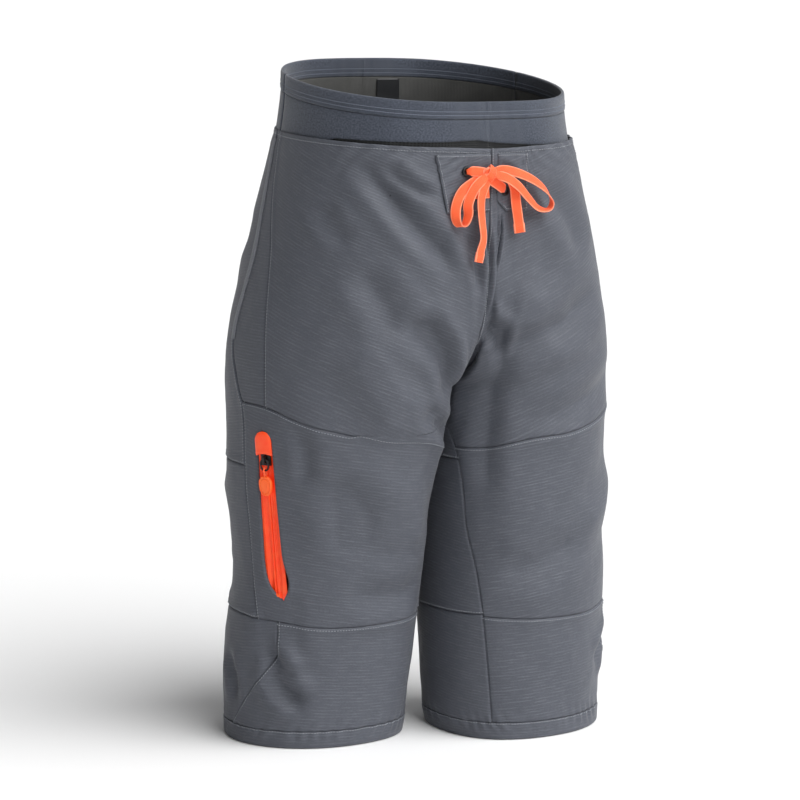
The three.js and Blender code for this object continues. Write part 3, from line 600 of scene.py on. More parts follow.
def speckle(tree, vector, scale, detail=2.0, roughness=0.5, distortion=0.0):
    return node(tree, "TexNoise", Vector=vector, Scale=scale, Detail=detail, Roughness=roughness,
                Distortion=distortion).outputs["Fac"]


def ramp(tree, factor, stops):
    made = node(tree, "ValToRGB", Fac=factor)
    while len(made.color_ramp.elements) < len(stops):
        made.color_ramp.elements.new(0.5)
    for element, (place, tone) in zip(made.color_ramp.elements, stops):
        element.position, element.color = place, tone
    return made.outputs["Color"]


def blendColour(tree, factor, a, b, mode="MIX"):
    made = node(tree, "Mix", {"data_type": "RGBA", "blend_type": mode})
    for socket, value in ((made.inputs[0], factor), (made.inputs[6], a), (made.inputs[7], b)):
        if isinstance(value, bpy.types.NodeSocket):
            tree.links.new(value, socket)
        else:
            socket.default_value = value
    return made.outputs[2]


def sums(tree, operation, a, b):
    return node(tree, "Math", {"operation": operation}, i0=a, i1=b).outputs[0]


def bump(tree, shader, height, distance, strength=1.0, previous=None):
    inputs = {"Height": height, "Distance": distance, "Strength": strength}
    if previous is not None:
        inputs["Normal"] = previous
    made = node(tree, "Bump", **inputs).outputs["Normal"]
    tree.links.new(made, shader.inputs["Normal"])
    return made


# The pale rib colour is partly the weave's paler threads and partly painted shade, darker in the grooves
# between the ribs.
ribbedNylon = {
    "ribPitch": 0.0029, "finePitch": 0.00095, "ribHeight": 0.00022,
    "light": colour(91, 94, 103), "dark": colour(71, 74, 82), "paleRibsAndShade": colour(121, 124, 132),
}


def makeNylon(name, setup):
    material, tree, shader = newMaterial(name, 0.62, Sheen_Weight=0.12, Sheen_Roughness=0.4,
                                         Specular_IOR_Level=0.32)
    uv = coordinates(tree)
    broken = speckle(tree, coordinates(tree, scale=(60, 420, 1)), 1.0, 2.0)
    ribs = bands(tree, uv, setup["ribPitch"], "Y", 1.1, 1.4)
    fine = bands(tree, uv, setup["finePitch"], "Y")
    warp = bands(tree, uv, 0.00075, "X")
    ribbing = sums(tree, "MULTIPLY", ribs, ramp(tree, broken, [(0.4, (0.08,) * 3 + (1,)), (0.66, (1,) * 4)]))
    mottled = speckle(tree, coordinates(tree, False), 26.0, 3.0)
    base = blendColour(tree, ramp(tree, mottled, [(0.2, (0.38,) * 3 + (1,)), (0.8, (0.62,) * 3 + (1,))]),
                       setup["dark"], setup["light"])
    # Ribs paler than the ground: partly the weave's threads, partly painted shade in the grooves between
    # them.
    ribbed = blendColour(tree, sums(tree, "MULTIPLY", ribbing, 0.3), base, setup["paleRibsAndShade"])
    flecks = ramp(tree, speckle(tree, coordinates(tree, scale=(500, 1500, 1)), 1.0, 1.0),
                  [(0.3, colour(205, 205, 205)), (0.7, (1, 1, 1, 1))])
    tree.links.new(blendColour(tree, 0.55, ribbed, flecks, "MULTIPLY"), shader.inputs["Base Color"])
    rough = node(tree, "MapRange", Value=broken, To_Min=0.54, To_Max=0.7).outputs[0]
    tree.links.new(rough, shader.inputs["Roughness"])
    first = bump(tree, shader, ribbing, setup["ribHeight"], 0.9)
    weave = sums(tree, "ADD", sums(tree, "MULTIPLY", fine, 0.6), sums(tree, "MULTIPLY", warp, 0.4))
    second = bump(tree, shader, weave, 0.00009, 0.8, first)
    bump(tree, shader, speckle(tree, coordinates(tree, False), 95.0, 3.0), 0.0009, 0.5, second)
    return material


def makeKnit(name, light, dark, wale=0.0006):
    material, tree, shader = newMaterial(name, 0.82, Sheen_Weight=0.3, Sheen_Roughness=0.5,
                                         Specular_IOR_Level=0.22)
    uv = coordinates(tree)
    heather = speckle(tree, coordinates(tree, scale=(900, 620, 1)), 1.0, 2.5, 0.7)
    cloudy = speckle(tree, coordinates(tree, False), 40.0, 2.0)
    tone = blendColour(tree, ramp(tree, heather, [(0.34, (0, 0, 0, 1)), (0.66, (1, 1, 1, 1))]), dark, light)
    shade = ramp(tree, cloudy, [(0.3, colour(240, 240, 242)), (0.7, (1, 1, 1, 1))])
    wales, courses = bands(tree, uv, wale, "X", 0.6), bands(tree, uv, wale * 0.8, "Y", 0.6)
    loops = sums(tree, "MULTIPLY", wales, courses)
    shadeLoops = ramp(tree, loops, [(0.0, colour(238, 238, 240)), (0.5, (1, 1, 1, 1))])
    toned = blendColour(tree, 1.0, tone, shade, "MULTIPLY")
    tree.links.new(blendColour(tree, 0.8, toned, shadeLoops, "MULTIPLY"), shader.inputs["Base Color"])
    first = bump(tree, shader, loops, 0.0001, 0.8)
    bump(tree, shader, heather, 0.00012, 0.4, first)
    return material


def makeLining(name, light, dark, pitch=0.0021):
    material, tree, shader = newMaterial(name, 0.9, Sheen_Weight=0.15, Specular_IOR_Level=0.2)
    uv = coordinates(tree)
    holes = sums(tree, "MULTIPLY", bands(tree, uv, pitch, "X"), bands(tree, uv, pitch, "Y"))
    cloudy = speckle(tree, coordinates(tree, False), 60.0, 2.0)
    tone = blendColour(tree, cloudy, dark, light)
    open_ = ramp(tree, holes, [(0.42, (1, 1, 1, 1)), (0.7, colour(120, 120, 120))])
    tree.links.new(blendColour(tree, 0.8, tone, open_, "MULTIPLY"), shader.inputs["Base Color"])
    bump(tree, shader, holes, 0.0004, 0.7)
    return material


def makeWebbing(name, light, dark, pale):
    material, tree, shader = newMaterial(name, 0.6, Sheen_Weight=0.2, Sheen_Roughness=0.4,
                                         Specular_IOR_Level=0.3)
    leftTwill = bands(tree, coordinates(tree, degrees=38), 0.0011, "X")
    rightTwill = bands(tree, coordinates(tree, degrees=-38), 0.0011, "X")
    across = node(tree, "SeparateXYZ", Vector=node(tree, "TexCoord").outputs["UV"]).outputs[0]
    flip = node(tree, "Math", {"operation": "PINGPONG"}, i0=across, i1=0.00115).outputs[0]
    left = node(tree, "Math", {"operation": "GREATER_THAN"}, i0=flip, i1=0.00057).outputs[0]
    weave = node(tree, "Mix", {"data_type": "FLOAT"}, i0=left, i2=leftTwill, i3=rightTwill).outputs[0]
    selvedge = sums(tree, "GREATER_THAN", sums(tree, "ABSOLUTE", across, 0.0), 0.0037)
    tone = blendColour(tree, sums(tree, "MULTIPLY", selvedge, 0.55),
                       blendColour(tree, weave, dark, light), pale)
    wear = ramp(tree, speckle(tree, coordinates(tree, False), 180.0, 2.0),
                [(0.3, colour(232, 232, 232)), (0.7, (1, 1, 1, 1))])
    tree.links.new(blendColour(tree, 1.0, tone, wear, "MULTIPLY"), shader.inputs["Base Color"])
    bump(tree, shader, weave, 0.00018, 0.8)
    # Painted light: a faint glow on the orange webbing.
    paintedGlow(shader, light)
    return material


def makeCoated(name, light, dark, roughness, lines=0.0014, useUv=True, coat=0.0):
    material, tree, shader = newMaterial(name, roughness, Specular_IOR_Level=0.45, Coat_Weight=coat,
                                         Coat_Roughness=0.25)
    soft = speckle(tree, coordinates(tree, False), 130.0, 3.0)
    grain = speckle(tree, coordinates(tree, False), 1600.0, 2.0)
    tone = blendColour(tree, ramp(tree, soft, [(0.3, (0, 0, 0, 1)), (0.7, (1, 1, 1, 1))]), dark, light)
    shade = ramp(tree, grain, [(0.3, colour(236, 236, 236)), (0.7, (1, 1, 1, 1))])
    tree.links.new(blendColour(tree, 1.0, tone, shade, "MULTIPLY"), shader.inputs["Base Color"])
    rough = node(tree, "MapRange", Value=soft, To_Min=roughness - 0.06, To_Max=roughness + 0.08).outputs[0]
    tree.links.new(rough, shader.inputs["Roughness"])
    first = bump(tree, shader, grain, 0.00006, 0.6)
    if useUv:
        bump(tree, shader, bands(tree, coordinates(tree), lines, "X"), 0.00012, 0.6, first)
    # Painted light: a faint glow on the orange coating.
    paintedGlow(shader, dark)
    return material


def makeEnamel(name, light, dark, roughness=0.32, metallic=0.0):
    material, tree, shader = newMaterial(name, roughness, Metallic=metallic, Specular_IOR_Level=0.42)
    cloudy = speckle(tree, coordinates(tree, False), 900.0, 3.0)
    tree.links.new(blendColour(tree, cloudy, dark, light), shader.inputs["Base Color"])
    rough = node(tree, "MapRange", Value=speckle(tree, coordinates(tree, False), 300.0, 3.0),
                 To_Min=roughness - 0.1, To_Max=roughness + 0.14).outputs[0]
    tree.links.new(rough, shader.inputs["Roughness"])
    bump(tree, shader, cloudy, 0.00004, 0.5)
    return material


def makeThread(name, light, dark):
    material, tree, shader = newMaterial(name, 0.7, Sheen_Weight=0.2, Specular_IOR_Level=0.3)
    twist = bands(tree, coordinates(tree, False, degrees=35), 0.0004, "X")
    tree.links.new(blendColour(tree, twist, dark, light), shader.inputs["Base Color"])
    bump(tree, shader, twist, 0.00008, 0.7)
    return material


nylon = makeNylon("ribbed_nylon", ribbedNylon)
knit = makeKnit("stretch_knit", colour(82, 88, 100), colour(52, 57, 67))
lining = makeLining("mesh_lining", colour(62, 63, 64), colour(44, 45, 47))
bandLining = makeLining("band_lining", colour(84, 84, 82), colour(68, 68, 67), 0.0009)
webbing = makeWebbing("flat_webbing", colour(255, 112, 66), colour(246, 80, 36), colour(255, 178, 146))
coated = makeCoated("coated_tape", colour(255, 88, 32), colour(255, 62, 14), 0.42)
coatedPlain = makeCoated("coated_patch", colour(255, 92, 40), colour(255, 70, 22), 0.42, useUv=False)
moulding = makeCoated("soft_moulding", colour(255, 112, 44), colour(252, 92, 28), 0.5, useUv=False)
enamel = makeEnamel("dark_enamel", colour(20, 20, 22), colour(9, 10, 11), 0.42)
# Painted highlight: the shell's topstitch thread is the cloth's own tone, and its lighter grey here stands
# for light catching the stitches.
highlitShellThread = makeThread("shell_thread_painted_highlight", colour(160, 164, 170), colour(124, 128, 135))
bandThread = makeThread("band_thread", colour(138, 146, 160), colour(104, 111, 126))
satin = makeEnamel("label_satin", colour(34, 35, 38), colour(24, 25, 27), 0.45)
print("materials ready")


def assign(piece, slot, *materials, onto="shorts", stands=()):
    for material in materials:
        piece.data.materials.append(material)
    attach(piece, onto)
    if stands:
        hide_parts(*stands)
    return piece


# Lace
lace = {
    "width": 9.4, "thickness": 1.05, "step": 0.9,
    "knot": [-13, 549.5, 8.4], "knotSize": [7.2, 4.6, 6.4],
}
# Ways of the lace: [x, height, off the shell, lean]. Lean turns the flat side: at 0 it faces
# out from the shell with its width across the way, at 90 it stands on edge.
laceWays = {
    "lace_upper_run": [[-34.5, 551.6, 2.6, 0], [-31.5, 552, 5.6, 0], [-25, 551.6, 7, 4],
                       [-16, 550, 7.6, -10]],
    "lace_lower_run": [[-34.5, 531.6, 2.6, 0], [-31.5, 531, 5.2, 6], [-22, 530, 5.8, 4],
                       [-10.5, 530.5, 4.6, 0]],
    "lace_lower_strand": [[-12, 544, 7.6, 0], [-6.5, 541, 7, 6], [0, 537.4, 6.2, 8], [5, 534.4, 5, 8],
                          [8.6, 532.4, 2.4, 4]],
    "lace_loop_right": [[-15.1, 547.5, 7, 8], [-29, 541.6, 7.4, 12], [-42, 532.5, 7.6, 18],
                        [-48.6, 518.7, 7.6, 30],
                        [-49.4, 506.8, 8, 52], [-46, 499.6, 8.6, 78], [-40.7, 500.6, 9.2, 100],
                        [-37.2, 509.8, 10, 122], [-37.4, 521.6, 11, 145], [-31, 536.2, 12.4, 164],
                        [-18.9, 546.8, 12, 174]],
    "lace_loop_left": [[-9.6, 550.3, 7.4, -6], [4.6, 552.2, 8.6, -10], [22.5, 547.6, 9, -18],
                       [38.6, 540, 9.6, -28],
                       [50.5, 530.6, 10, -46], [56.6, 520, 10, -72], [52.6, 512.6, 10, -100],
                       [40.4, 514.4, 10.6, -138], [28.8, 524.4, 12, -156], [17.2, 535.6, 13, -166],
                       [4.5, 544, 13, -172], [-8.6, 548.2, 12, -176]],
    "lace_tail_right": [[-14.5, 546, 9.2, 10], [-18.5, 540, 11, 4], [-23.4, 526, 11.6, -6],
                        [-22, 508, 9.4, -14],
                        [-19.2, 487, 8.4, -18], [-22, 475, 8.2, -6], [-24, 465, 8.2, -10]],
    "lace_tail_left": [[-7, 548, 6.8, 0], [3, 547, 6.2, 0], [12, 543, 6.2, 10], [16.4, 534, 7, 20],
                       [17.6, 519, 8, 26], [19.4, 504, 8.4, 24], [21.4, 490.5, 8.2, 22]],
}


def frontPlace(x, z, out):
    x, z, out = (np.asarray(v, float) for v in (x, z, out))
    side = np.where(x < 0, -1, 1)
    u = frontTurnAt(z, np.maximum(np.abs(x), 0.5))
    left, right = shellPoint(1, u, z), shellPoint(-1, u, z)
    leftNormal, rightNormal = shellNormal(1, u, z), shellNormal(-1, u, z)
    onLeft = (side > 0)[..., None]
    normal = np.where(onLeft, leftNormal, rightNormal)
    point = np.where(onLeft, left, right) + normal * (out + sagAt(u, z))[..., None]
    point[..., 0] = x
    return point, normal


def roundedWay(rows, step):
    rows = np.array(rows, float)
    padded = np.concatenate([2 * rows[:1] - rows[1:2], rows, 2 * rows[-1:] - rows[-2:-1]])
    made = []
    for a, b, c, d in zip(padded, padded[1:], padded[2:], padded[3:]):
        count = max(2, int(np.linalg.norm((c - b)[:3]) / step))
        t = (np.arange(count) / count)[:, None]
        made.append(0.5 * (2 * b + (c - a) * t + (2 * a - 5 * b + 4 * c - d) * t * t
                           + (3 * b - a - 3 * c + d) * t ** 3))
    return np.concatenate([*made, rows[-1:]])


def stripSection(width, thickness, count=5):
    r = thickness / 2
    half = width / 2 - r
    angles = np.linspace(-math.pi / 2, math.pi / 2, count)
    right = np.stack([half + r * np.cos(angles), r * np.sin(angles)], -1)
    top = np.stack([np.linspace(half, -half, 6)[1:-1], np.full(4, r)], -1)
    left = -right
    bottom = -top
    return np.concatenate([right, top, left, bottom])


def sweep(name, centre, across, normal, width, thickness, closed=False):
    rings, uv = [], []
    length = np.concatenate([[0], np.cumsum(np.linalg.norm(np.diff(centre, axis=0), axis=1))])
    for k in range(len(centre)):
        section = stripSection(width[k], thickness[k])
        rings.append(centre[k] + section[:, :1] * across[k] + section[:, 1:] * normal[k])
        uv.append(np.stack([section[:, 0], np.full(len(section), length[k])], -1))
    faces = tubeFaces(len(rings), len(rings[0]), closed)
    return solidFrom(name, np.concatenate(rings), faces, np.concatenate(uv))


def layLace(name, way):
    fine = roundedWay(way, lace["step"])
    centre, outward = frontPlace(fine[:, 0], fine[:, 1], fine[:, 2])
    tangent = unit(np.gradient(centre, axis=0))
    outward = unit(outward - tangent * np.einsum("ij,ij->i", outward, tangent)[:, None])
    level = np.cross(outward, tangent)
    lean = np.radians(fine[:, 3])[:, None]
    across = unit(level * np.cos(lean) + outward * np.sin(lean))
    normal = unit(np.cross(tangent, across))
    count = len(centre)
    width, thickness = np.full(count, lace["width"]), np.full(count, lace["thickness"])
    along = np.concatenate([[0], np.cumsum(np.linalg.norm(np.diff(centre, axis=0), axis=1))])
    if "tail" in name:
        end = smooth((along - along[-1] + 9) / 0.8)
        rows = np.exp(-((along - along[-1] + 7.2) / 0.7) ** 2) + np.exp(-((along - along[-1]
                                                                           + 1.8) / 0.7) ** 2)
        thickness = thickness * (1 + 1.1 * end - 0.6 * rows)
        width = width * (1 + 0.13 * end)
        width = width * (1 - 0.3 * smooth(1 - along / 9))
    if "run" in name or "strand" in name:
        eyelet = along if "run" in name else along[-1] - along
        width = width * (1 - 0.52 * smooth(1 - eyelet / 6))
    if "loop" in name:
        pinch = np.minimum(along, along[-1] - along)
        width = width * (1 - 0.28 * smooth(1 - pinch / 9))
    piece = sweep(name + "_webbing", centre, across, normal, width, thickness)
    assign(piece, "lace_webbing", webbing, stands=[name.replace("strand", "run")])
    return piece, centre, across, normal, along


lengths = {}
for name, way in laceWays.items():
    piece, centre, across, normal, along = layLace(name, way)
    lengths[name] = along[-1]


def addKnot():
    place, outward = frontPlace([lace["knot"][0]], [lace["knot"][1]], [lace["knot"][2]])
    place, outward = place[0], outward[0]
    right = unit(np.cross([0, 0, 1], outward) * -1)
    up = unit(np.cross(right, outward) * -1)
    up = up if up[2] > 0 else -up
    right = right if right[0] > 0 else -right
    size = np.array(lace["knotSize"])
    layers, around = 28, 48
    grid = []
    for phi in np.linspace(0.02, math.pi - 0.02, layers):
        ring = []
        for theta in np.linspace(0, 2 * math.pi, around, endpoint=False):
            along, wide = math.cos(phi), math.sin(phi)
            direction = np.array([along, wide * math.cos(theta), wide * math.sin(theta)])
            crease = 0.07 * math.sin(3 * theta + 4 * along) + 0.05 * math.sin(5 * theta - 6 * along)
            local = direction * size * (0.93 + crease)
            ring.append(place + right * local[0] + outward * local[1] + up * local[2])
        grid.append(ring)
    points = np.array(grid).reshape(-1, 3)
    uv = np.stack([np.tile(np.linspace(0, 30, around), layers),
                   np.repeat(np.linspace(0, 16, layers), around)], -1)
    core = solidFrom("lace_knot_core", points, tubeFaces(layers, around), uv)
    lean = math.radians(38)
    axis = right * math.cos(lean) - up * math.sin(lean)
    cross = np.cross(axis, outward)
    stops = 60
    turns = np.linspace(0, 2 * math.pi, stops, endpoint=False)
    wrapSize = [5.0, 6.9]
    centre = np.array([place + outward * wrapSize[0] * math.cos(a) + cross * wrapSize[1] * math.sin(a)
                       + axis * 0.9 * math.sin(2 * a) for a in turns])
    radial = unit(np.array([outward * math.cos(a) / wrapSize[0] + cross * math.sin(a) / wrapSize[1]
                            for a in turns]))
    across = np.tile(axis, (stops, 1))
    wrap = sweep("lace_knot_wrap", centre, across, radial, np.full(stops, 8.2), np.full(stops, 1.1),
                 closed=True)
    joinPieces(core, wrap)
    core.name = "lace_knot_webbing"
    assign(core, "lace_webbing", webbing, stands=["lace_knot"])


addKnot()
print("lace laid", {name: round(float(v), 1) for name, v in lengths.items()})

# Outer shell panels
crotch, waist = body["crotch"], body["waist"]


def constant(value):
    return lambda at: np.full(np.shape(at), float(value))


def frontEdge(z):
    return np.where(z < crotch, inseam(z), 0)


def backEdge(z):
    return np.where(z < crotch, 1 + inseam(z), 1)


def belowBack(z):
    return 1 + inseam(z)


def sideName(side):
    return "left" if side > 0 else "right"


def windowHalf(z):
    high = np.clip((window["top"] - z) / 9, 0, 1)
    low = np.clip((z - window["bottom"]) / 27, 0, 1)
    return window["width"] / 2 * np.sqrt(1 - (1 - high) ** 2) * (1 - (1 - low) ** 2.4)


def windowEdge(z, edge):
    lean = -5.5 * (1 - smooth((z - window["bottom"]) / 44))
    half = np.maximum(windowHalf(z), 0.15)
    return outsideTurnAt(-1, z, window["centreY"] + lean * (1 if edge < 0 else 0.55) + edge * half)


def frontReach(u):
    # How far from the middle of the front a turn is at the waist, near enough, in mm.
    return sectionColumns[0](waist) * (1 - np.cos(2 * math.pi * np.minimum(u, 0.5)))


def shellTop(u):
    # The top edge dips a little at the middle of the front, where the lace holds it.
    return waist - 4.0 * smooth((85 - frontReach(u)) / 85)


panelCuts = {
    "front_upper": dict(front=frontEdge, back=sideFrontSeam, bottom=thighSeam, top=shellTop, size=(225, 270),
                        seams=dict(front="under", back="felled", bottom="under", top="folded"), grain=-20,
                        bulge=sagAt, flat=(268, 308), share=0.86),
    "side_wedge": dict(front=sideFrontSeam, back=pocketEdge, bottom=thighSeam, top=shellTop, size=(30, 250),
                       seams=dict(front="under", back="under", bottom="under", top="folded"), grain=0,
                       flat=(46, 262), share=0.78),
    "back_upper": dict(front=pocketEdge, back=backEdge, bottom=constant(body["backSeam"]), top=shellTop,
                       size=(230, 300), seams=dict(front="felled", back="under", bottom="felled",
                                                   top="folded"),
                       grain=9, flat=(290, 322), share=0.86),
    "back_thigh": dict(front=sideSeam, back=belowBack, bottom=kneeSeam, top=constant(body["backSeam"]),
                       size=(360, 150), seams=dict(front="under", back="under", bottom="felled", top="under"),
                       grain=5, flat=(380, 158), share=0.92),
    "front_knee": dict(front=inseam, back=dartSeam, bottom=constant(body["hemBand"]), top=kneeSeam,
                       size=(190, 104), seams=dict(front="under", back="felled", bottom="hemmed",
                                                   top="felled"),
                       grain=-4, flat=(218, 106), share=0.8),
    "back_knee": dict(front=dartSeam, back=belowBack, bottom=constant(body["hemBand"]), top=kneeSeam,
                      size=(340, 104), seams=dict(front="under", back="under", bottom="hemmed", top="under"),
                      grain=6, flat=(390, 112), share=0.91),
}
frontThigh = dict(front=inseam, back=sideSeam, bottom=kneeSeam, top=thighSeam, size=(220, 180),
                  seams=dict(front="under", back="felled", bottom="under", top="felled"), grain=-9)


def windowRoll(u, z):
    # The folded edge round the window stands a little proud.
    edges = [np.abs(u - windowEdge(z, e)) * 600 for e in (-1, 1)]
    vertical = np.maximum(np.maximum(z - window["top"], window["bottom"] - z), 0)
    away = np.hypot(np.minimum(*edges), vertical)
    return 0.55 * (1 - smooth((away - 3.2) / 2.2)) - 1.3 * np.exp(-(away / 0.8) ** 2)


def frontThighGrid():
    # The columns go round the leg: to a margin beside the window, to its edge, over it, and to the side
    # seam. The rows go up: below the window, past it and above it.
    fine = np.array([0, 0.5, 1.1, 1.9, 2.9, 4.2, 5.6])
    frontPart = np.concatenate([fine[:-1], np.linspace(5.6, 150, 48)]) / 150
    marginPart = np.array([2.6, 4.6, 6.0, 7.0, 7.8, 8.4, 9.0]) / 9.0
    stripPart = np.array([0.6, 1.2, 2.0, 3.2, 5, 7.2, 9.4, 11.6, 13.4, 14.8, 15.8, 16.6, 17.2, 17.8]) / 17.8
    rowsLow = np.concatenate([[0, 0.5, 1.1, 1.9, 2.9, 4.2, 5.6, 7], np.linspace(9.5, 24, 6)])
    lowHeight = window["bottom"] - body["knee"]
    rowsOpen = lowHeight + np.concatenate([np.linspace(0, 12, 13), np.linspace(14.6, 142, 48), 158 - np.array(
        [12.5, 9.6, 7.4, 5.6, 4.2, 3.0, 2.0, 1.2, 0.6, 0.25, 0])])
    count = len(frontPart) + len(marginPart) + 1 + len(stripPart)
    rows = [*[("low", v / lowHeight) for v in rowsLow], *[("open", v) for v in rowsOpen],
            *[("high", v) for v in (0.1, 0.22, 0.4, 0.58, 0.74, 0.86, 0.93, 0.97, 1.0)]]
    u = np.zeros((len(rows), count))
    z = np.zeros((len(rows), count))
    gap = body["seamGap"] / 2

    def columnsAt(height, k):
        a = windowEdge(height, -1)
        b = windowEdge(height, 1)
        margin = outsideTurnAt(-1, height, window["centreY"] - window["width"] / 2 - 9)
        if k < len(frontPart):
            return mix(inseam(height), margin, frontPart[k])
        k -= len(frontPart)
        if k < len(marginPart):
            return mix(margin, a, marginPart[k])
        k -= len(marginPart)
        return b if k == 0 else mix(b, sideSeam(height), stripPart[k - 1])
    starts = {"low": lambda v: body["knee"] + lowHeight * v, "open": lambda v: body["knee"] + v,
              "high": lambda v: mix(window["top"], crotch - 18, v)}
    for k in range(count):
        for j, (part, v) in enumerate(rows):
            height = starts[part](v)
            for _ in range(6):
                turn = float(columnsAt(height, k))
                if part == "low":
                    height = mix(float(kneeSeam(turn)) + gap, window["bottom"], v)
                elif part == "high":
                    height = mix(window["top"], float(thighSeam(turn)) - gap, v)
            u[j, k], z[j, k] = turn, height
    opening = len(frontPart) + len(marginPart) - 1
    skip = np.zeros((len(rows) - 1, count - 1), bool)
    firstOpen = len(rowsLow)
    skip[firstOpen:firstOpen + len(rowsOpen) - 1, opening] = True
    return u, z, skip, opening


for side in (1, -1):
    label = sideName(side)
    for kind, cut in panelCuts.items():
        cut = dict(cut)
        flat, share = cut.pop("flat"), cut.pop("share")
        piece = clothPanel(f"{kind}_{label}_cloth", side, **cut)
        assign(piece, "shell_nylon", nylon, lining, stands=[f"{kind}_{label}"])
    if side > 0:
        piece = clothPanel(f"front_thigh_{label}_cloth", side, **frontThigh)
    else:
        turnGrid, heightGrid, skipCells, openingColumn = frontThighGrid()
        piece = clothPanel(f"front_thigh_{label}_cloth", side, None, None, None, None, frontThigh["seams"],
                           grain=frontThigh["grain"], grid=(turnGrid, heightGrid), skip=skipCells,
                           bulge=windowRoll)
    assign(piece, "shell_nylon", nylon, lining, stands=[f"front_thigh_{label}"])
print("shell panels ready")


def addHem(side):
    label = sideName(side)
    count = 220
    turns = np.arange(count) / count
    profile = [(0.0, 16.35), (0.32, 15.4), (0.5, 13.8), (0.52, 11), (0.5, 8), (0.5, 5), (0.45, 2.6),
               (0.2, 1.0), (-0.35, 0.2), (-1.0, 0.0), (-1.8, 0.15), (-2.3, 1.0), (-2.5, 3), (-2.5, 7),
               (-2.5, 12), (-2.2, 16.35)]
    heights = np.array([p[1] for p in profile])[:, None] + 0 * turns
    outs = np.array([p[0] for p in profile])[:, None] + 0 * turns
    u = turns[None] + 0 * heights
    level = shellNormal(side, u, np.maximum(heights, 0.01)) * [1, 1, 0]
    drape = drapeAt(side, u, np.maximum(heights, 2.0)) * smooth((heights + 4) / 10)
    points = shellPoint(side, u, np.maximum(heights, 0.01)) + unit(level) * (outs + drape)[..., None]
    points[..., 2] = heights
    rows = len(profile)
    index = np.arange(rows * count).reshape(rows, count)
    index = np.concatenate([index, index[:, :1]], 1)
    index = np.concatenate([index, index[:1]], 0)
    length = np.concatenate([[0], np.cumsum(np.abs(np.diff(heights[:, 0])) + np.abs(np.diff(outs[:, 0])))])
    uv = np.stack([u * 520, length[:, None] + 0 * u], -1).reshape(-1, 2)
    piece = solidFrom(f"hem_band_{label}_cloth", points.reshape(-1, 3), gridFaces(index), uv)
    panels[f"hem_{label}"] = {"outer": points, "normal": unit(level)}
    assign(piece, "shell_nylon", nylon, stands=[f"hem_band_{label}"])


def addPocket(side):
    label = sideName(side)

    def rounded(u, z):
        edge = pocketEdge(z)
        return 1.9 + 0.9 * np.sqrt(np.clip(1 - ((u - edge) / 0.0047) ** 2, 0, 1))
    welt = clothPanel(f"pocket_welt_{label}_cloth", side, lambda z: pocketEdge(z) - 0.0045,
                      lambda z: pocketEdge(z) + 0.0045, constant(crotch + 40), constant(waist - 8),
                      {}, size=(9, 184), bulge=lambda u, z: rounded(u, z) - 1.0, thickness=1.2, innerSlot=0)
    # The welt's lighter nylon is a painted highlight along the pocket's piped edge.
    assign(welt, "shell_nylon", highlitPiping, stands=[f"pocket_welt_{label}"])
    bag = clothPanel(f"hand_pocket_bag_{label}_cloth", side, constant(0.3), lambda z: pocketEdge(z) - 0.004,
                     constant(crotch + 48), constant(waist - 24), {}, size=(110,
                                                                            150), out=-3.4, thickness=0.8,
                     coarse=6, innerSlot=0)
    assign(bag, "liner_cloth", lining, stands=[f"hand_pocket_bag_{label}"])


# Painted highlight: a lighter copy of the shell nylon for the pocket welt, standing for the light caught
# along its piped edge.
highlitPiping = makeNylon("piping_painted_highlight", {**ribbedNylon, "light": colour(128, 131, 137),
                                    "dark": colour(106, 109, 116)})
for side in (1, -1):
    addHem(side)
    addPocket(side)

# Waistband
waistband = {
    "sideTurn": 0.275, "inset": 3.4, "thickness": 2.4, "foldProud": 0.8, "tuck": 16,
    "gap": 8.5, "gapMiddle": 15.0, "gapReach": (85.0, 66.0),
}


def rimAt(u):
    eased = u - np.sin(2 * math.pi * u) / (2 * math.pi)
    return body["rim"] - body["rimDip"] * np.cos(math.pi * eased)


def seamAt(u):
    # The seam between the two bands, an even distance under the rim.
    return rimAt(u) - 16.8


def bandHalfTurn(turns):
    t = turns - np.floor(turns)
    return np.where(t <= 0.5, 2 * t, 2 - 2 * t)


def bandRing(name, turns, profile, slots):
    t = np.asarray(turns)[None, :]
    u = bandHalfTurn(t)
    rows = profile(u, t)
    outs = np.concatenate([r[0] + 0 * t for r in rows])
    heights = np.concatenate([r[1] + 0 * t for r in rows])
    turnGrid = t + 0 * heights
    ends = np.minimum(np.abs(t - turns[0]), np.abs(t - turns[-1])) * 640
    dip = -0.7 * np.exp(-(ends / 1.1) ** 2)
    ripple = 0.25 * wander(turnGrid * 60, heights / 14, 60, 5) + 0.5 * wander(turnGrid * 14, heights / 60,
                                                                              14, 6)
    points = waistPoint(turnGrid, heights, outs + dip + ripple)
    count, wide = points.shape[:2]
    index = np.arange(count * wide).reshape(count, wide)
    loop = np.concatenate([index, index[:1]], 0)
    faces = gridFaces(loop).tolist()
    slotList = np.repeat([slots[k] for k in range(count)], wide - 1).tolist()
    faces.append(index[:, 0].tolist())
    faces.append(index[::-1, -1].tolist())
    slotList += [0, 0]
    uv = np.stack([turnGrid * 780, heights + 0 * turnGrid], -1).reshape(-1, 2)
    piece = meshFrom(name, points.reshape(-1, 3), faces, uv, slotList)
    outwards(piece)
    panels[name] = {"outer": points, "normal": waistPoint(turnGrid, heights, 1.0 + 0 * heights)
                    - waistPoint(turnGrid, heights, 0 * heights)}
    return piece


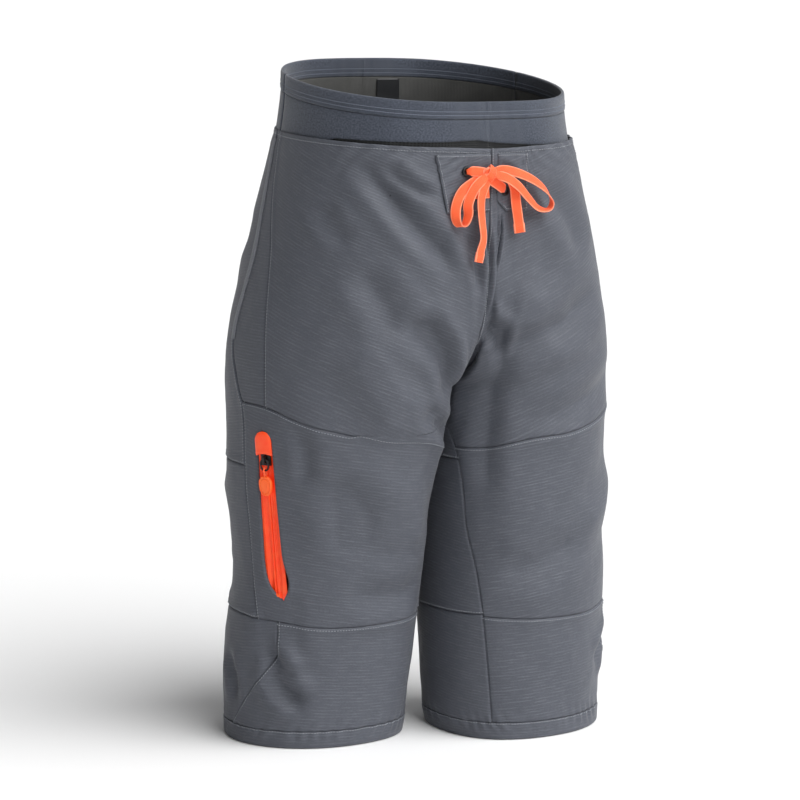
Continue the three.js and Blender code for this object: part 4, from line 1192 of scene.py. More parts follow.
def addWaistband():
    inset, thick = waistband["inset"], waistband["thickness"]
    proud = waistband["foldProud"]
    outFace, inFace = proud - inset, proud - inset - thick - 1

    def upper(u, _):
        top, seam = rimAt(u), seamAt(u)
        mid, radius = (outFace + inFace) / 2, (outFace - inFace) / 2
        rows = [(outFace - 0.5, seam + 0.02), (outFace + 0.05, seam + 1.0), (outFace + 0.1, seam + 2.4),
                (outFace - 0.12, seam + 3.5), (outFace + 0.08, seam + 4.6), (outFace + 0.08, seam + 6.0),
                (outFace - 0.12, seam + 7.1), (outFace + 0.1, seam + 8.3),
                (outFace + 0.15, mix(seam + 8, top, 0.35)), (outFace + 0.15, mix(seam + 8, top, 0.7)),
                (outFace, top - 2.2), (outFace - 0.25, top - 1.0),
                (mid + radius * 0.55, top - 0.25), (mid, top), (mid - radius * 0.55, top - 0.25),
                (inFace + 0.25, top - 1.0), (inFace, top - 2.2), (inFace, mix(seam + 8, top, 0.6)),
                (inFace, mix(seam + 8, top, 0.2)), (inFace - 0.1, seam + 8.3), (inFace + 0.1, seam + 7.1),
                (inFace - 0.08, seam + 5.8), (inFace - 0.08, seam + 4.4), (inFace + 0.1, seam + 3.4),
                (inFace - 0.1, seam + 2.2), (inFace, seam + 0.9), (inFace + 0.4, seam + 0.02)]
        return rows

    def lower(u, t):
        bottom, top = waist - waistband["tuck"], seamAt(u)
        reach = frontReach(u) * np.sign(t) + waistband["gapMiddle"]
        open_ = waistband["gap"] * (1 - np.abs(reach) / np.where(reach < 0, *waistband["gapReach"]))
        shown = shellTop(u) + open_
        edge = np.where((open_ > -1.5) & (np.abs(t) < 0.24), np.maximum(shown, bottom + 1), bottom + 1)
        edge = mix(bottom + 1, edge, smooth((0.24 - np.abs(t)) / 0.03))
        rows = [(-inset - 1.6, bottom), (-inset - 1.5, mix(bottom, edge, 0.5)), (-inset - 1.4, edge - 0.5),
                (-inset - 0.3, edge + 0.2), (-inset + 0.1, edge + 1.2), (-inset + 0.05, edge + 3.0),
                (-inset, mix(edge + 3, top, 0.25)), (-inset, mix(edge + 3, top, 0.5)),
                (-inset, mix(edge + 3, top, 0.75)), (-inset + 0.1, top - 2.0), (-inset - 0.1, top - 0.8),
                (-inset - 0.7, top - 0.01), (-inset - thick + 0.4, top - 0.01), (-inset - thick, top - 1.2),
                (-inset - thick, mix(bottom, top, 0.66)), (-inset - thick, mix(bottom, top, 0.33)),
                (-inset - thick, bottom + 1.0), (-inset - thick + 0.3, bottom)]
        return rows

    pieces = {"front": (-waistband["sideTurn"], waistband["sideTurn"]),
              "back": (waistband["sideTurn"], 1 - waistband["sideTurn"])}
    for place, (start, stop) in pieces.items():
        turns = np.linspace(start + 0.0002, stop - 0.0002, 170)
        up = bandRing(f"waistband_upper_{place}_knit", turns, upper, [0] * 27)
        assign(up, "knit_band", knit, stands=[f"waistband_upper_{place}"])
        low = bandRing(f"waistband_lower_{place}_knit", turns, lower, [1, 1, 1] + [0] * 9 + [2] * 6)
        assign(low, "knit_band", knit, lining, bandLining, stands=[f"waistband_lower_{place}"])


addWaistband()


def addLabel():
    turns, rows = np.linspace(0.372, 0.424, 25), np.linspace(596, 615.5, 13)
    t, z = np.meshgrid(turns, rows)
    s, r = np.linspace(-1, 1, 25)[None, :], np.linspace(-1, 1, 13)[:, None]
    curl = -0.5 * smooth((-r - 0.3) / 0.7) * (0.6 + 0.4 * s)
    out = -waistband["inset"] - waistband["thickness"] - 0.9 + curl
    edge = 0.22 * ((np.abs(s) > 0.93) | (np.abs(r) > 0.88))
    inner, outer = waistPoint(t, z, out), waistPoint(t, z, out - 0.5 - edge)
    uv = np.stack([t * 780, z], -1)
    piece = thinSolid("blank_label_satin", outer, inner, uv)
    assign(piece, "liner_cloth", satin, stands=["blank_label"])


addLabel()
print("waistband ready")

# Fly and lacing patches
lacing = {"top": 569.0, "bottom": 512.0, "rightFrom": 7.5, "rightTo": 64.0, "leftFrom": 0.8, "leftTo": 35.0,
          "thickness": 0.9, "rows": (532.0, 552.0), "rightEyelet": 34.0, "leftEyelet": 9.0}


def lapEdgeAt(z):
    return 6.0 * smooth((z - 374) / 26)


def addFlyLap():
    rows = np.concatenate([np.linspace(376, 571, 80), [572.6, 573.6]])
    shares = np.array([0, 0.05, 0.12, 0.22, 0.36, 0.5, 0.64, 0.78, 0.9, 1.0])
    s, z = np.meshgrid(shares, rows)
    x = mix(-lapEdgeAt(z) - 0.2, 3.2, s)
    wave = 0.35 * wander(z / 30, z / 17 + 3, 31, 77)
    lift = 1.35 * (1 - smooth((x + 0.5) / 3.4)) - 0.4 * smooth((x - 0.6) / 2.4) + wave * smooth(-x / 4)
    lift = lift - 0.55 * np.exp(-((x + lapEdgeAt(z) + 0.2) / 0.5) ** 2)
    side = np.where(x < 0, -1, 1)
    u = frontTurnAt(z, np.maximum(np.abs(x), 0.5))
    drape = np.where(side > 0, drapeAt(1, u, z), drapeAt(-1, u, z))
    outer, normal = frontPlace(x, z, lift + drape)
    inner = outer - normal * 0.9
    uv = turned(np.stack([x, z], -1), -17)
    piece = thinSolid("fly_lap_cloth", outer, inner, uv)
    panels["fly_lap"] = {"outer": outer, "normal": normal, "away": edgeDistances(outer)}
    assign(piece, "shell_nylon", nylon)


def addPatch(side):
    label = sideName(side)
    start, stop = (lacing["leftFrom"], lacing["leftTo"]) if side > 0 else (lacing["rightFrom"],
                                                                           lacing["rightTo"])
    s, t = np.meshgrid(steps(stop - start, 1.9), steps(lacing["top"] - lacing["bottom"], 1.9))
    z = mix(lacing["bottom"], lacing["top"], t)
    x = mix(start, stop, s)
    if side < 0:
        x = x - 9.0 * s * (1 - t)
    else:
        z = z + np.clip(11 - 1.1 * (x - start), 0, 11) * (1 - t) ** 2
    u = frontTurnAt(z, x)
    base, normal = shellPoint(side, u, z), shellNormal(side, u, z)
    away = edgeDistances(base)
    nearest = np.minimum(np.minimum(away["front"], away["back"]), np.minimum(away["bottom"], away["top"]))
    sewnEdge = 0.3 * (1 - smooth((nearest - 3) / 2))
    lift = 1.05 + lacing["thickness"] - 0.75 * np.exp(-(nearest / 0.8) ** 2) + sewnEdge
    lift += drapeAt(side, u, z) + sagAt(u, z) + 0.7 * wander(x / 17 + z / 60, z / 6.5 + x / 22, 19, 60 + side)
    for row in lacing["rows"]:
        hole = lacing["leftEyelet"] if side > 0 else lacing["rightEyelet"]
        lift -= 0.5 * np.exp(-(np.hypot(x - hole, z - row) / 6.5) ** 2)
    outer = base + normal * lift[..., None]
    inner = outer - normal * lacing["thickness"]
    uv = turned(np.stack([x, z], -1), -17 * side)
    piece = thinSolid(f"lacing_patch_{label}_cloth", outer, inner, uv)
    panels[f"patch_{label}"] = {"outer": outer, "normal": normal, "away": away}
    assign(piece, "shell_nylon", nylon, stands=[f"lacing_patch_{label}"])


def addFacing():
    facing = clothPanel("fly_facing_cloth", 1, lambda z: frontTurnAt(z, 1 + 0 * z),
                        lambda z: frontTurnAt(z, 20 + 0 * z),
                        constant(428), constant(570), {}, size=(19, 142), out=-3.4, thickness=1.0,
                        bulge=sagAt, innerSlot=0)
    assign(facing, "shell_nylon", nylon, stands=["fly_facing"])


def latheRing(name, profile, place, axis, count=40):
    axis = Vector(axis).normalized()
    turn = Vector((0, 0, 1)).rotation_difference(axis).to_matrix()
    rings = []
    for angle in np.linspace(0, 2 * math.pi, count, endpoint=False):
        for radius, height in profile:
            local = Vector((radius * math.cos(angle), radius * math.sin(angle), height))
            rings.append(np.array(turn @ local) + place)
    points = np.array(rings)
    return solidFrom(name, points, tubeFaces(count, len(profile), True), points[:, [0, 2]])


def addEyelets():
    arc = [(3.55 + 1.05 * math.cos(a), 0.35 + 1.05 * math.sin(a))
           for a in np.linspace(-0.35, math.pi + 0.2, 12)]
    profile = [*arc, (2.4, -0.9), (2.7, -1.2), (4.0, -0.45)]
    for row, z in enumerate(lacing["rows"]):
        for side, x in ((-1, -lacing["rightEyelet"]), (1, lacing["leftEyelet"])):
            label = f"eyelet_{sideName(side)}_{'upper' if row else 'lower'}"
            u = frontTurnAt(z, abs(x))
            off = 2.1 + float(drapeAt(side, u, z))
            place, normal = frontPlace([x], [z], [off])
            piece = latheRing(label + "_ring", profile, place[0], normal[0])
            # Painted shade: a dark disc closes the eyelet's hole, so it shows as shaded depth.
            floor = latheRing(label + "_shade", [(0.01, -1.1), (2.5, -1.1), (2.5, -0.8), (0.01, -0.8)],
                              place[0], normal[0], 24)
            joinPieces(piece, floor)
            assign(piece, "dark_metal", enamel, stands=[label])


addFlyLap()
for side in (1, -1):
    addPatch(side)
addFacing()
addEyelets()
print("fly and lacing ready")

# Liner
linerSetup = {"inset": 17, "thickness": 1.2, "hem": 190, "top": 562}


def linerOut(z):
    return -mix(linerSetup["inset"], waistband["inset"] + 0.6, smooth((z - linerSetup["top"] + 55) / 55))


def addLiner(side):
    label = sideName(side)
    piece = clothPanel(f"liner_{label}_cloth", side, constant(0), constant(1), constant(linerSetup["hem"]),
                       constant(linerSetup["top"]), dict(front="hemmed", back="hemmed", bottom="folded"),
                       size=(470,
                             372), thickness=linerSetup["thickness"], drape=False, coarse=5.5, innerSlot=0,
                       bulge=lambda u, z: linerOut(z) + 0.5 * wander(u * 20, z / 24, 20, 90 + side))
    assign(piece, "liner_cloth", lining, stands=[f"liner_{label}"])


for side in (1, -1):
    addLiner(side)

# Pads
padClearance = 1.4


def padGrid(cut, place, share, count=30):
    s, t = np.meshgrid(np.linspace(-1, 1, count), np.linspace(-1, 1, count))
    x = s * mix(1, np.sqrt(1 - t * t / 2), 0.55) * 0.965
    y = t * mix(1, np.sqrt(1 - s * s / 2), 0.55) * 0.965
    height = mix(cut["edge"], cut["crown"] * share, (1 - s ** 4) * (1 - t ** 4))
    over = place(x * cut["halfWidth"], y * cut["halfHeight"], height)
    under = place(x * cut["halfWidth"], y * cut["halfHeight"], 0 * height + 0.3)
    return over, under, np.stack([x * 55, y * cut["halfHeight"]], -1)


def puff(piece, cap):
    remesh = piece.modifiers.new("remesh", "REMESH")
    remesh.mode = "VOXEL"
    remesh.voxel_size = 0.004
    bpy.context.view_layer.update()
    rest = pointsOf(settle(piece))
    cloth = piece.modifiers.new("cloth", "CLOTH")
    cloth.settings.use_pressure = True
    cloth.settings.uniform_pressure_force = 4
    cloth.settings.effector_weights.gravity = 0
    frames = 20
    cloth.point_cache.frame_start, cloth.point_cache.frame_end = 1, frames
    for frameNumber in range(1, frames + 1):
        scene.frame_set(frameNumber)
    swollen = settle(piece)
    travel = pointsOf(swollen) - rest
    long = np.linalg.norm(travel, axis=1, keepdims=True)
    travel *= np.minimum(1, cap * mm / np.maximum(long, 1e-9))
    swollen.vertices.foreach_set("co", (rest + travel).ravel())
    swollen.update()
    scene.frame_set(1)


def sewChannels(piece, cut, locate):
    mesh = piece.data
    points = pointsOf(mesh) / mm
    s, t, normal, rising = locate(points)
    lines = np.minimum(np.abs(t - 0.33), np.abs(t + 0.33)) * cut["halfHeight"]
    lines = np.minimum(lines, np.abs(s) * 50)
    depth = 0.9 * np.exp(-(lines / 1.8) ** 2) * smooth((rising - 1.5) / 2)
    mesh.vertices.foreach_set("co", ((points - normal * depth[:, None]) * mm).ravel())
    mesh.shade_smooth()


def addPad(name, cut, place, frameAt, cap):
    over, under, uv = padGrid(cut, place, 0.84)
    piece = thinSolid(name + "_foam", over, under, uv)
    puff(piece, cap)
    finer = piece.modifiers.new("finer", "SUBSURF")
    finer.levels = finer.render_levels = 1
    settle(piece)
    sewChannels(piece, cut, frameAt)
    piece.data.uv_layers.new(name="cloth")
    assign(piece, "pad_foam", padCover, stands=[name])


def padLocator(cut, place):
    grid = np.linspace(-1, 1, 41)
    s, t = np.meshgrid(grid, grid)
    base = place(s * cut["halfWidth"], t * cut["halfHeight"], 0 * s).reshape(-1, 3)
    up = unit(place(s * cut["halfWidth"], t * cut["halfHeight"], 0 * s + 1).reshape(-1, 3) - base)
    flatS, flatT = s.ravel(), t.ravel()

    def locate(points):
        nearest = np.array([np.argmin(((base + up * 3 - p) ** 2).sum(1)) for p in points])
        rising = np.einsum("ij,ij->i", points - base[nearest], up[nearest])
        return flatS[nearest], flatT[nearest], up[nearest], rising
    return locate


def makePadCover(name):
    material, tree, shader = newMaterial(name, 0.85, Sheen_Weight=0.2, Specular_IOR_Level=0.2)
    cells = node(tree, "TexVoronoi", {"feature": "DISTANCE_TO_EDGE"}, Vector=coordinates(tree, False),
                 Scale=260.0)
    tone = ramp(tree, cells.outputs["Distance"], [(0.0, colour(40, 42, 46)), (0.25, colour(72, 76, 82))])
    shade = ramp(tree, speckle(tree, coordinates(tree, False), 50.0),
                 [(0.3, colour(225, 225, 225)), (0.7, (1,) * 4)])
    tree.links.new(blendColour(tree, 1.0, tone, shade, "MULTIPLY"), shader.inputs["Base Color"])
    bump(tree, shader, cells.outputs["Distance"], 0.0006, 0.8)
    return material


padCover = makePadCover("pad_cover")
for side in (1, -1):
    for kind in ("hip", "thigh"):
        cut = padCuts[kind]

        def place(x, y, lift, side=side, cut=cut):
            z = cut["height"] + y
            u = cut["turn"] + x
            return shellPoint(side, u, z) + shellNormal(side, u, z) * (linerOut(z) + padClearance
                                                                       + lift)[..., None]
        addPad(f"{kind}_pad_{sideName(side)}", cut, place, padLocator(cut, place), 2.0 if kind == "hip"
               else 1.5)


def tailPlace(x, y, lift):
    z = padCuts["tailbone"]["height"] + y
    return waistPoint(0.5 + x, z, linerOut(z) + padClearance + lift)


addPad("tailbone_pad", padCuts["tailbone"], tailPlace, padLocator(padCuts["tailbone"], tailPlace), 2.0)
print("liner and pads ready")

# Zip
zipSetup = {
    "tapeWidth": 9.0, "tapeThickness": 1.0, "coilWidth": 2.8, "coilHeight": 1.3, "coilGap": 0.4, "tail": 2.0,
    "depth": 4.3, "toothPitch": 1.25, "sliderLength": 12.0, "sliderPlate": 1.5, "clearance": 0.35,
    "garageLength": 20.0, "garageReach": 3.4, "garageLift": 1.1, "garageThickness": 0.9,
    "ringRadius": 5.0, "ringWire": 0.95, "ringHeight": 2.7,
    "tabLength": 19.0, "tabWidth": 11.0, "tabThickness": 3.4, "tabLift": 0.5,
}


def zipFrame():
    def onLeg(z):
        return shellPoint(-1, outsideTurnAt(-1, z, window["centreY"]), z)
    top, bottom = onLeg(window["top"]), onLeg(window["bottom"])
    up = unit(top - bottom)
    middle = (window["top"] + window["bottom"]) / 2
    out = shellNormal(-1, outsideTurnAt(-1, middle, window["centreY"]), middle)
    out = unit(out - up * (out @ up))
    return (top + bottom) / 2, np.cross(out, up), out, up, np.linalg.norm(top - bottom) / 2


zipCentre, zipAcross, zipOut, zipUp, zipHalf = zipFrame()


def zipPlace(points):
    points = np.asarray(points, float)
    return zipCentre + points[..., :1] * zipAcross + points[..., 1:2] * zipOut + points[..., 2:] * zipUp


def repeatTooth(name, count, pitch, start, size):
    tree = bpy.data.node_groups.new(name, "GeometryNodeTree")
    tree.interface.new_socket("Geometry", in_out="OUTPUT", socket_type="NodeSocketGeometry")
    settings = {"Count": ("Int", count), "Start": ("Vector", start), "Step": ("Vector", pitch),
                "Radius": ("Float", size[0]), "Length": ("Float", size[1])}
    values = {}
    for label, (kind, value) in settings.items():
        socket = tree.interface.new_socket(label, in_out="INPUT", socket_type="NodeSocket" + kind)
        values[socket.identifier] = value
    new = tree.nodes.new
    source, target = new("NodeGroupInput"), new("NodeGroupOutput")
    line = new("GeometryNodeMeshLine")
    tree.links.new(source.outputs["Count"], line.inputs["Count"])
    tree.links.new(source.outputs["Start"], line.inputs["Start Location"])
    tree.links.new(source.outputs["Step"], line.inputs["Offset"])
    tooth = new("GeometryNodeMeshUVSphere")
    tooth.inputs["Segments"].default_value = 10
    tooth.inputs["Rings"].default_value = 5
    tree.links.new(source.outputs["Radius"], tooth.inputs["Radius"])
    combine = new("ShaderNodeCombineXYZ")
    combine.inputs[0].default_value = 1
    combine.inputs[1].default_value = 1
    tree.links.new(source.outputs["Length"], combine.inputs[2])
    place = new("GeometryNodeInstanceOnPoints")
    tree.links.new(line.outputs["Mesh"], place.inputs["Points"])
    tree.links.new(tooth.outputs["Mesh"], place.inputs["Instance"])
    tree.links.new(combine.outputs[0], place.inputs["Scale"])
    axes = Matrix((zipOut, zipUp, zipAcross)).transposed()
    rotation = axes.to_euler()
    place.inputs["Rotation"].default_value = rotation
    realize, paint = new("GeometryNodeRealizeInstances"), new("GeometryNodeSetMaterial")
    paint.inputs["Material"].default_value = coated
    tree.links.new(place.outputs[0], realize.inputs[0])
    tree.links.new(realize.outputs[0], paint.inputs[0])
    tree.links.new(paint.outputs[0], target.inputs[0])
    return growOn(name, tree, values)


def growOn(name, tree, values, mesh=None):
    holder = bpy.data.objects.new(name, mesh or bpy.data.meshes.new(name))
    scene.collection.objects.link(holder)
    modifier = holder.modifiers.new("grow", "NODES")
    modifier.node_group = tree
    for identifier, value in values.items():
        modifier[identifier] = value
    bpy.context.view_layer.update()
    made = settle(holder)
    made.name = name
    made.shade_smooth()
    return holder


def shellLift(x, z):
    # How far the leg's surface stands off the zip's middle plane.
    flat = zipPlace(np.stack([x, 0 * x, z], -1))
    turn = outsideTurnAt(-1, flat[..., 2], flat[..., 1])
    return (shellPoint(-1, turn, flat[..., 2]) - zipCentre) @ zipOut


def addTapes():
    # Each half lies in the slider's way by the coil and rises to the cloth at its outer side.
    near = zipSetup["coilGap"] / 2
    top = -zipSetup["depth"]
    wide = zipSetup["tapeWidth"] + 1.6
    coilOut = [near + zipSetup["coilWidth"] * t for t in (0, 0.06, 0.2, 0.4, 0.6, 0.8, 0.94, 1)]
    stations = np.linspace(-zipHalf - zipSetup["tail"], zipHalf + zipSetup["tail"], 110)
    columns = np.array([*coilOut, 3.6, 4.3, 5.0, 5.6, 6.2, 6.8, 7.4, 8.0, 8.6, 9.1, wide])
    for label, sign in (("front", -1), ("back", 1)):
        x, z = np.meshgrid(sign * columns, stations)
        reach = np.abs(x)
        sewn = smooth((reach - 4.4) / 3.4)
        lift = mix(top, np.minimum(shellLift(x, z) - body["shell"] - 0.35, -1.9), sewn)
        inCoil = np.clip((reach - near) / zipSetup["coilWidth"], 0, 1)
        lift = lift + (zipSetup["coilHeight"] - 0.2) * np.sqrt(np.clip(1 - (2 * inCoil - 1) ** 2, 0, 1))
        lift = lift + 0.22 * np.exp(-((reach - 7.6) / 0.4) ** 2) + 0.18 * np.exp(-((reach - 4.2) / 0.35) ** 2)
        outer = zipPlace(np.stack([x, lift, z], -1))
        under = mix(top, np.minimum(shellLift(x, z) - body["shell"] - 0.35, -1.9), sewn) - 0.8
        inner = zipPlace(np.stack([x, under, z], -1))
        piece = thinSolid(f"zip_tape_{label}_cloth", outer, inner, np.stack([x, z], -1))
        count = int(2 * zipHalf / zipSetup["toothPitch"])
        start = zipPlace([[sign * (near + 1.4), top + 0.52, -zipHalf]])[0] * mm
        teeth = repeatTooth(f"zip_teeth_{label}", count, tuple(zipUp * zipSetup["toothPitch"] * mm),
                            tuple(start),
                            (0.56 * mm, 2.3))
        joined = joinPieces(piece, teeth)
        joined.data.materials.clear()
        joined.data.polygons.foreach_set("material_index", np.zeros(len(joined.data.polygons), int))
        assign(joined, "zip_tape", coated, stands=[f"zip_tape_{label}"])


def addGarage():
    half = window["width"] / 2 + 0.5
    topZ, length = zipHalf + 1.5, zipSetup["garageLength"]
    rows, columns = 26, 17
    r, c = np.meshgrid(np.linspace(0, 1, rows), np.linspace(-1, 1, columns), indexing="ij")
    bow = 2.2 * (1 - c * c)
    z = mix(topZ - length - zipSetup["garageReach"] + bow, topZ + 0 * c, r)
    reach = np.clip((topZ - z) / half, 0, 1)
    x = c * half * np.sqrt(np.clip(1 - (1 - reach) ** 2, 0.0004, 1))
    crown = 0.9 * (1 - c * c) * smooth((topZ - z) / 4) - 0.9 * (1 - smooth(r * 9))
    crown += 0.25 * (1 - smooth((r - 0.1) * 9))
    lift = zipSetup["garageLift"] + zipSetup["garageThickness"] + crown - 0.5 * np.abs(c) ** 6
    outer = zipPlace(np.stack([x, lift, z], -1))
    inner = zipPlace(np.stack([x, lift - 0.9, z], -1))
    piece = thinSolid("zip_garage_cloth", outer, inner, np.stack([x, z], -1))
    assign(piece, "zip_tape", coatedPlain, stands=["zip_garage"])


def bevelledCopy(nodeName, name, width):
    made = bmesh.new()
    made.from_mesh(bpy.data.objects[nodeName].data)
    bmesh.ops.remove_doubles(made, verts=made.verts, dist=1e-6)
    bmesh.ops.dissolve_limit(made, angle_limit=math.radians(2), verts=made.verts, edges=made.edges)
    mesh = bpy.data.meshes.new(name)
    made.to_mesh(mesh)
    made.free()
    piece = bpy.data.objects.new(name, mesh)
    scene.collection.objects.link(piece)
    bevel = piece.modifiers.new("soften", "BEVEL")
    bevel.width, bevel.segments, bevel.limit_method = width * mm, 2, "ANGLE"
    bevel.angle_limit = math.radians(30)
    settle(piece).shade_smooth()
    return piece


coilTop = -zipSetup["depth"] + zipSetup["coilHeight"]
sliderOver = coilTop + zipSetup["clearance"] + zipSetup["sliderPlate"]
sliderZ = zipHalf + 1.5 - zipSetup["garageLength"] - 0.8 - zipSetup["sliderLength"] / 2
pullOut = sliderOver + zipSetup["ringHeight"]


def pullPlace(points):
    return zipPlace(np.asarray(points, float) + [0, pullOut, sliderZ])


def roundTube(name, centre, radius, closed=False, sides=12):
    centre = np.asarray(centre, float)
    count = len(centre)
    ahead = np.roll(centre, -1, 0) - np.roll(centre, 1, 0) if closed else np.gradient(centre, axis=0)
    tangent = unit(ahead)
    normal = np.cross(tangent, [1.0, 0, 0])
    normal = unit(np.where(np.linalg.norm(normal, axis=1, keepdims=True) > 1e-3, normal,
                           np.cross(tangent, [0, 1.0, 0])))
    other = np.cross(tangent, normal)
    angles = np.linspace(0, 2 * math.pi, sides, endpoint=False)
    rings = [centre[k] + radius * (np.cos(angles)[:, None] * normal[k] + np.sin(angles)[:, None] * other[k])
             for k in range(count)]
    points = np.concatenate(rings)
    return solidFrom(name, pullPlace(points), tubeFaces(count, sides, closed), points[:, [0, 2]])


def addPull():
    radius, wire = zipSetup["ringRadius"], zipSetup["ringWire"]
    angles = np.linspace(0, 2 * math.pi, 64, endpoint=False)
    rounded = np.sign(np.sin(angles)) * np.abs(np.sin(angles)) ** 0.72
    ring = np.stack([radius * 0.86 * rounded, 0 * angles, radius * np.cos(angles) - radius], -1)
    piece = roundTube("pull_ring_wire", ring, wire, True, 14)
    assign(piece, "dark_metal", enamel, onto="ring", stands=["pull_ring"])
    ringEnd = -2 * radius
    cordLow = ringEnd - 5.4
    loop = roundedWay([[0, 1, cordLow], [0, 1.7, ringEnd - 1.5], [0, 1.9, ringEnd + 0.2],
                       [0, 0, ringEnd + 2.3],
                       [0, -1.9, ringEnd + 0.2], [0, -1.7, ringEnd - 1.5], [0, -1, cordLow]], 0.4)
    piece = roundTube("pull_cord_loop", loop, 0.8, False, 10)
    assign(piece, "orange_moulding", webbing, onto="tab", stands=["pull_cord"])
    addTab(cordLow - 0.3)


def addTab(top):
    # A chamfered pull with a plain raised shield on each face.
    thick = zipSetup["tabThickness"]
    half = [(3.4, 0), (6.5, -3.4), (7.0, -5.8), (6.9, -9.4), (6.3, -13.6), (4.0, -17.2), (1.8, -18.4)]
    corners = np.array([*half, *[(-x, z) for x, z in half[::-1]]], float)
    outline = []
    for k, corner in enumerate(corners):
        before, after = corners[k - 1], corners[(k + 1) % len(corners)]
        for t in (-0.24, -0.12, 0.0, 0.12, 0.24):
            straight = corner + (after - corner) * max(t, 0) + (before - corner) * max(-t, 0)
            chord = (corner + (after - corner) * 0.24 + corner + (before - corner) * 0.24) / 2
            outline.append(mix(straight, chord, 0.4 * (1 - abs(t) / 0.24)))
    outline = np.array(outline) + [0, top]
    centre = np.array([0, top - 9.4])

    def ringAt(shrink, y):
        inward = outline - centre
        reach = np.linalg.norm(inward, axis=1, keepdims=True)
        ring = centre + inward * (1 - shrink / np.maximum(reach, 0.1))
        return np.stack([ring[:, 0], np.full(len(ring), y), ring[:, 1]], -1)
    face = thick / 2
    front = [(0.0, face - 1.0), (0.2, face - 0.45), (0.6, face - 0.1), (1.1, face), (1.7, face - 0.02),
             (2.0, face - 0.4), (2.7, face - 0.42), (3.0, face + 0.02), (3.6, face + 0.14), (4.8, face + 0.2)]
    layers = [(shrink, -y) for shrink, y in front[::-1]] + front
    rings = [ringAt(shrink, y + zipSetup["tabLift"]) for shrink, y in layers]
    points = np.concatenate(rings)
    faces = tubeFaces(len(rings), len(outline))
    piece = solidFrom("pull_tab_moulding", pullPlace(points), faces, points[:, [0, 2]])
    assign(piece, "orange_moulding", moulding, onto="tab", stands=["pull_tab"])


addTapes()
addGarage()
assign(bevelledCopy("zip_bottom_stop", "zip_bottom_stop_bar", 0.2), "zip_tape", moulding,
       stands=["zip_bottom_stop"])
assign(bevelledCopy("zip_slider", "zip_slider_body", 0.3), "dark_metal", enamel, onto="slider",
       stands=["zip_slider"])
addPull()
bag = clothPanel("thigh_pocket_bag_cloth", -1, constant(0.345), lambda z: sideSeam(z) + 0.016,
                 constant(body["knee"] + 10), constant(crotch - 26), {}, size=(90,
                                                                               192), out=-3.6, thickness=0.8,
                 coarse=5, innerSlot=0,
                 bulge=lambda u, z: -6.6 * smooth((u - 0.345) / 0.03) * smooth((sideSeam(z)
                                                                                + 0.016 - u) / 0.016)
                 * smooth((z - 128) / 16) * smooth((320 - z) / 16))
assign(bag, "liner_cloth", lining, stands=["thigh_pocket_bag"])
print("zip ready")

# Stitching


def stitchTree(name, material):
    tree = bpy.data.node_groups.new(name, "GeometryNodeTree")
    tree.interface.new_socket("Geometry", in_out="INPUT", socket_type="NodeSocketGeometry")
    tree.interface.new_socket("Geometry", in_out="OUTPUT", socket_type="NodeSocketGeometry")
    identifiers = {}
    for label in ("Pitch", "Length", "Width", "Height"):
        identifiers[label] = tree.interface.new_socket(label, in_out="INPUT",
                                                       socket_type="NodeSocketFloat").identifier
    new = tree.nodes.new
    source, target = new("NodeGroupInput"), new("NodeGroupOutput")
    curve, resample = new("GeometryNodeMeshToCurve"), new("GeometryNodeResampleCurve")
    resample.mode = "LENGTH"
    tangent = new("GeometryNodeInputTangent")
    outward = new("GeometryNodeInputNamedAttribute")
    outward.data_type = "FLOAT_VECTOR"
    outward.inputs["Name"].default_value = "outward"
    axes = new("FunctionNodeAxesToRotation")
    axes.primary_axis, axes.secondary_axis = "X", "Z"
    bead = new("GeometryNodeMeshUVSphere")
    bead.inputs["Segments"].default_value = 6
    bead.inputs["Rings"].default_value = 4
    bead.inputs["Radius"].default_value = 0.5
    size = new("ShaderNodeCombineXYZ")
    place = new("GeometryNodeInstanceOnPoints")
    realize, paint = new("GeometryNodeRealizeInstances"), new("GeometryNodeSetMaterial")
    paint.inputs["Material"].default_value = material
    link = tree.links.new
    link(source.outputs["Geometry"], curve.inputs[0])
    link(curve.outputs[0], resample.inputs["Curve"])
    link(source.outputs["Pitch"], resample.inputs["Length"])
    link(resample.outputs[0], place.inputs["Points"])
    link(tangent.outputs[0], axes.inputs[0])
    link(outward.outputs[0], axes.inputs[1])
    link(axes.outputs[0], place.inputs["Rotation"])
    link(bead.outputs["Mesh"], place.inputs["Instance"])
    for k, label in enumerate(("Length", "Width", "Height")):
        link(source.outputs[label], size.inputs[k])
    link(size.outputs[0], place.inputs["Scale"])
    link(place.outputs[0], realize.inputs[0])
    link(realize.outputs[0], paint.inputs[0])
    link(paint.outputs[0], target.inputs[0])
    return tree, identifiers


stitching = {"pitch": 2.8, "width": 0.75, "height": 0.62}
trees = {}


def stitch(name, runs, material, slot="shell_nylon", pitch=None, width=None):
    if material.name not in trees:
        trees[material.name] = stitchTree("stitches_" + material.name, material)
    tree, identifiers = trees[material.name]
    points = np.concatenate([run[0] for run in runs])
    normals = np.concatenate([run[1] for run in runs])
    edges, start = [], 0
    for run in runs:
        edges += [[start + k, start + k + 1] for k in range(len(run[0]) - 1)]
        start += len(run[0])
    mesh = bpy.data.meshes.new(name)
    mesh.from_pydata((points * mm).tolist(), edges, [])
    attribute = mesh.attributes.new("outward", "FLOAT_VECTOR", "POINT")
    attribute.data.foreach_set("vector", normals.ravel())
    pitch = (pitch or stitching["pitch"]) * mm
    values = {identifiers["Pitch"]: pitch, identifiers["Length"]: pitch * 0.74,
              identifiers["Width"]: (width or stitching["width"]) * mm,
              identifiers["Height"]: stitching["height"] * mm}
    piece = growOn(name, tree, values, mesh)
    piece.data.materials.clear()
    assign(piece, slot, material)
    return piece


def patchRuns(name, sides, distance=2.0):
    return [alongEdge(name, edge, distance, start, stop) for edge, start, stop in sides]


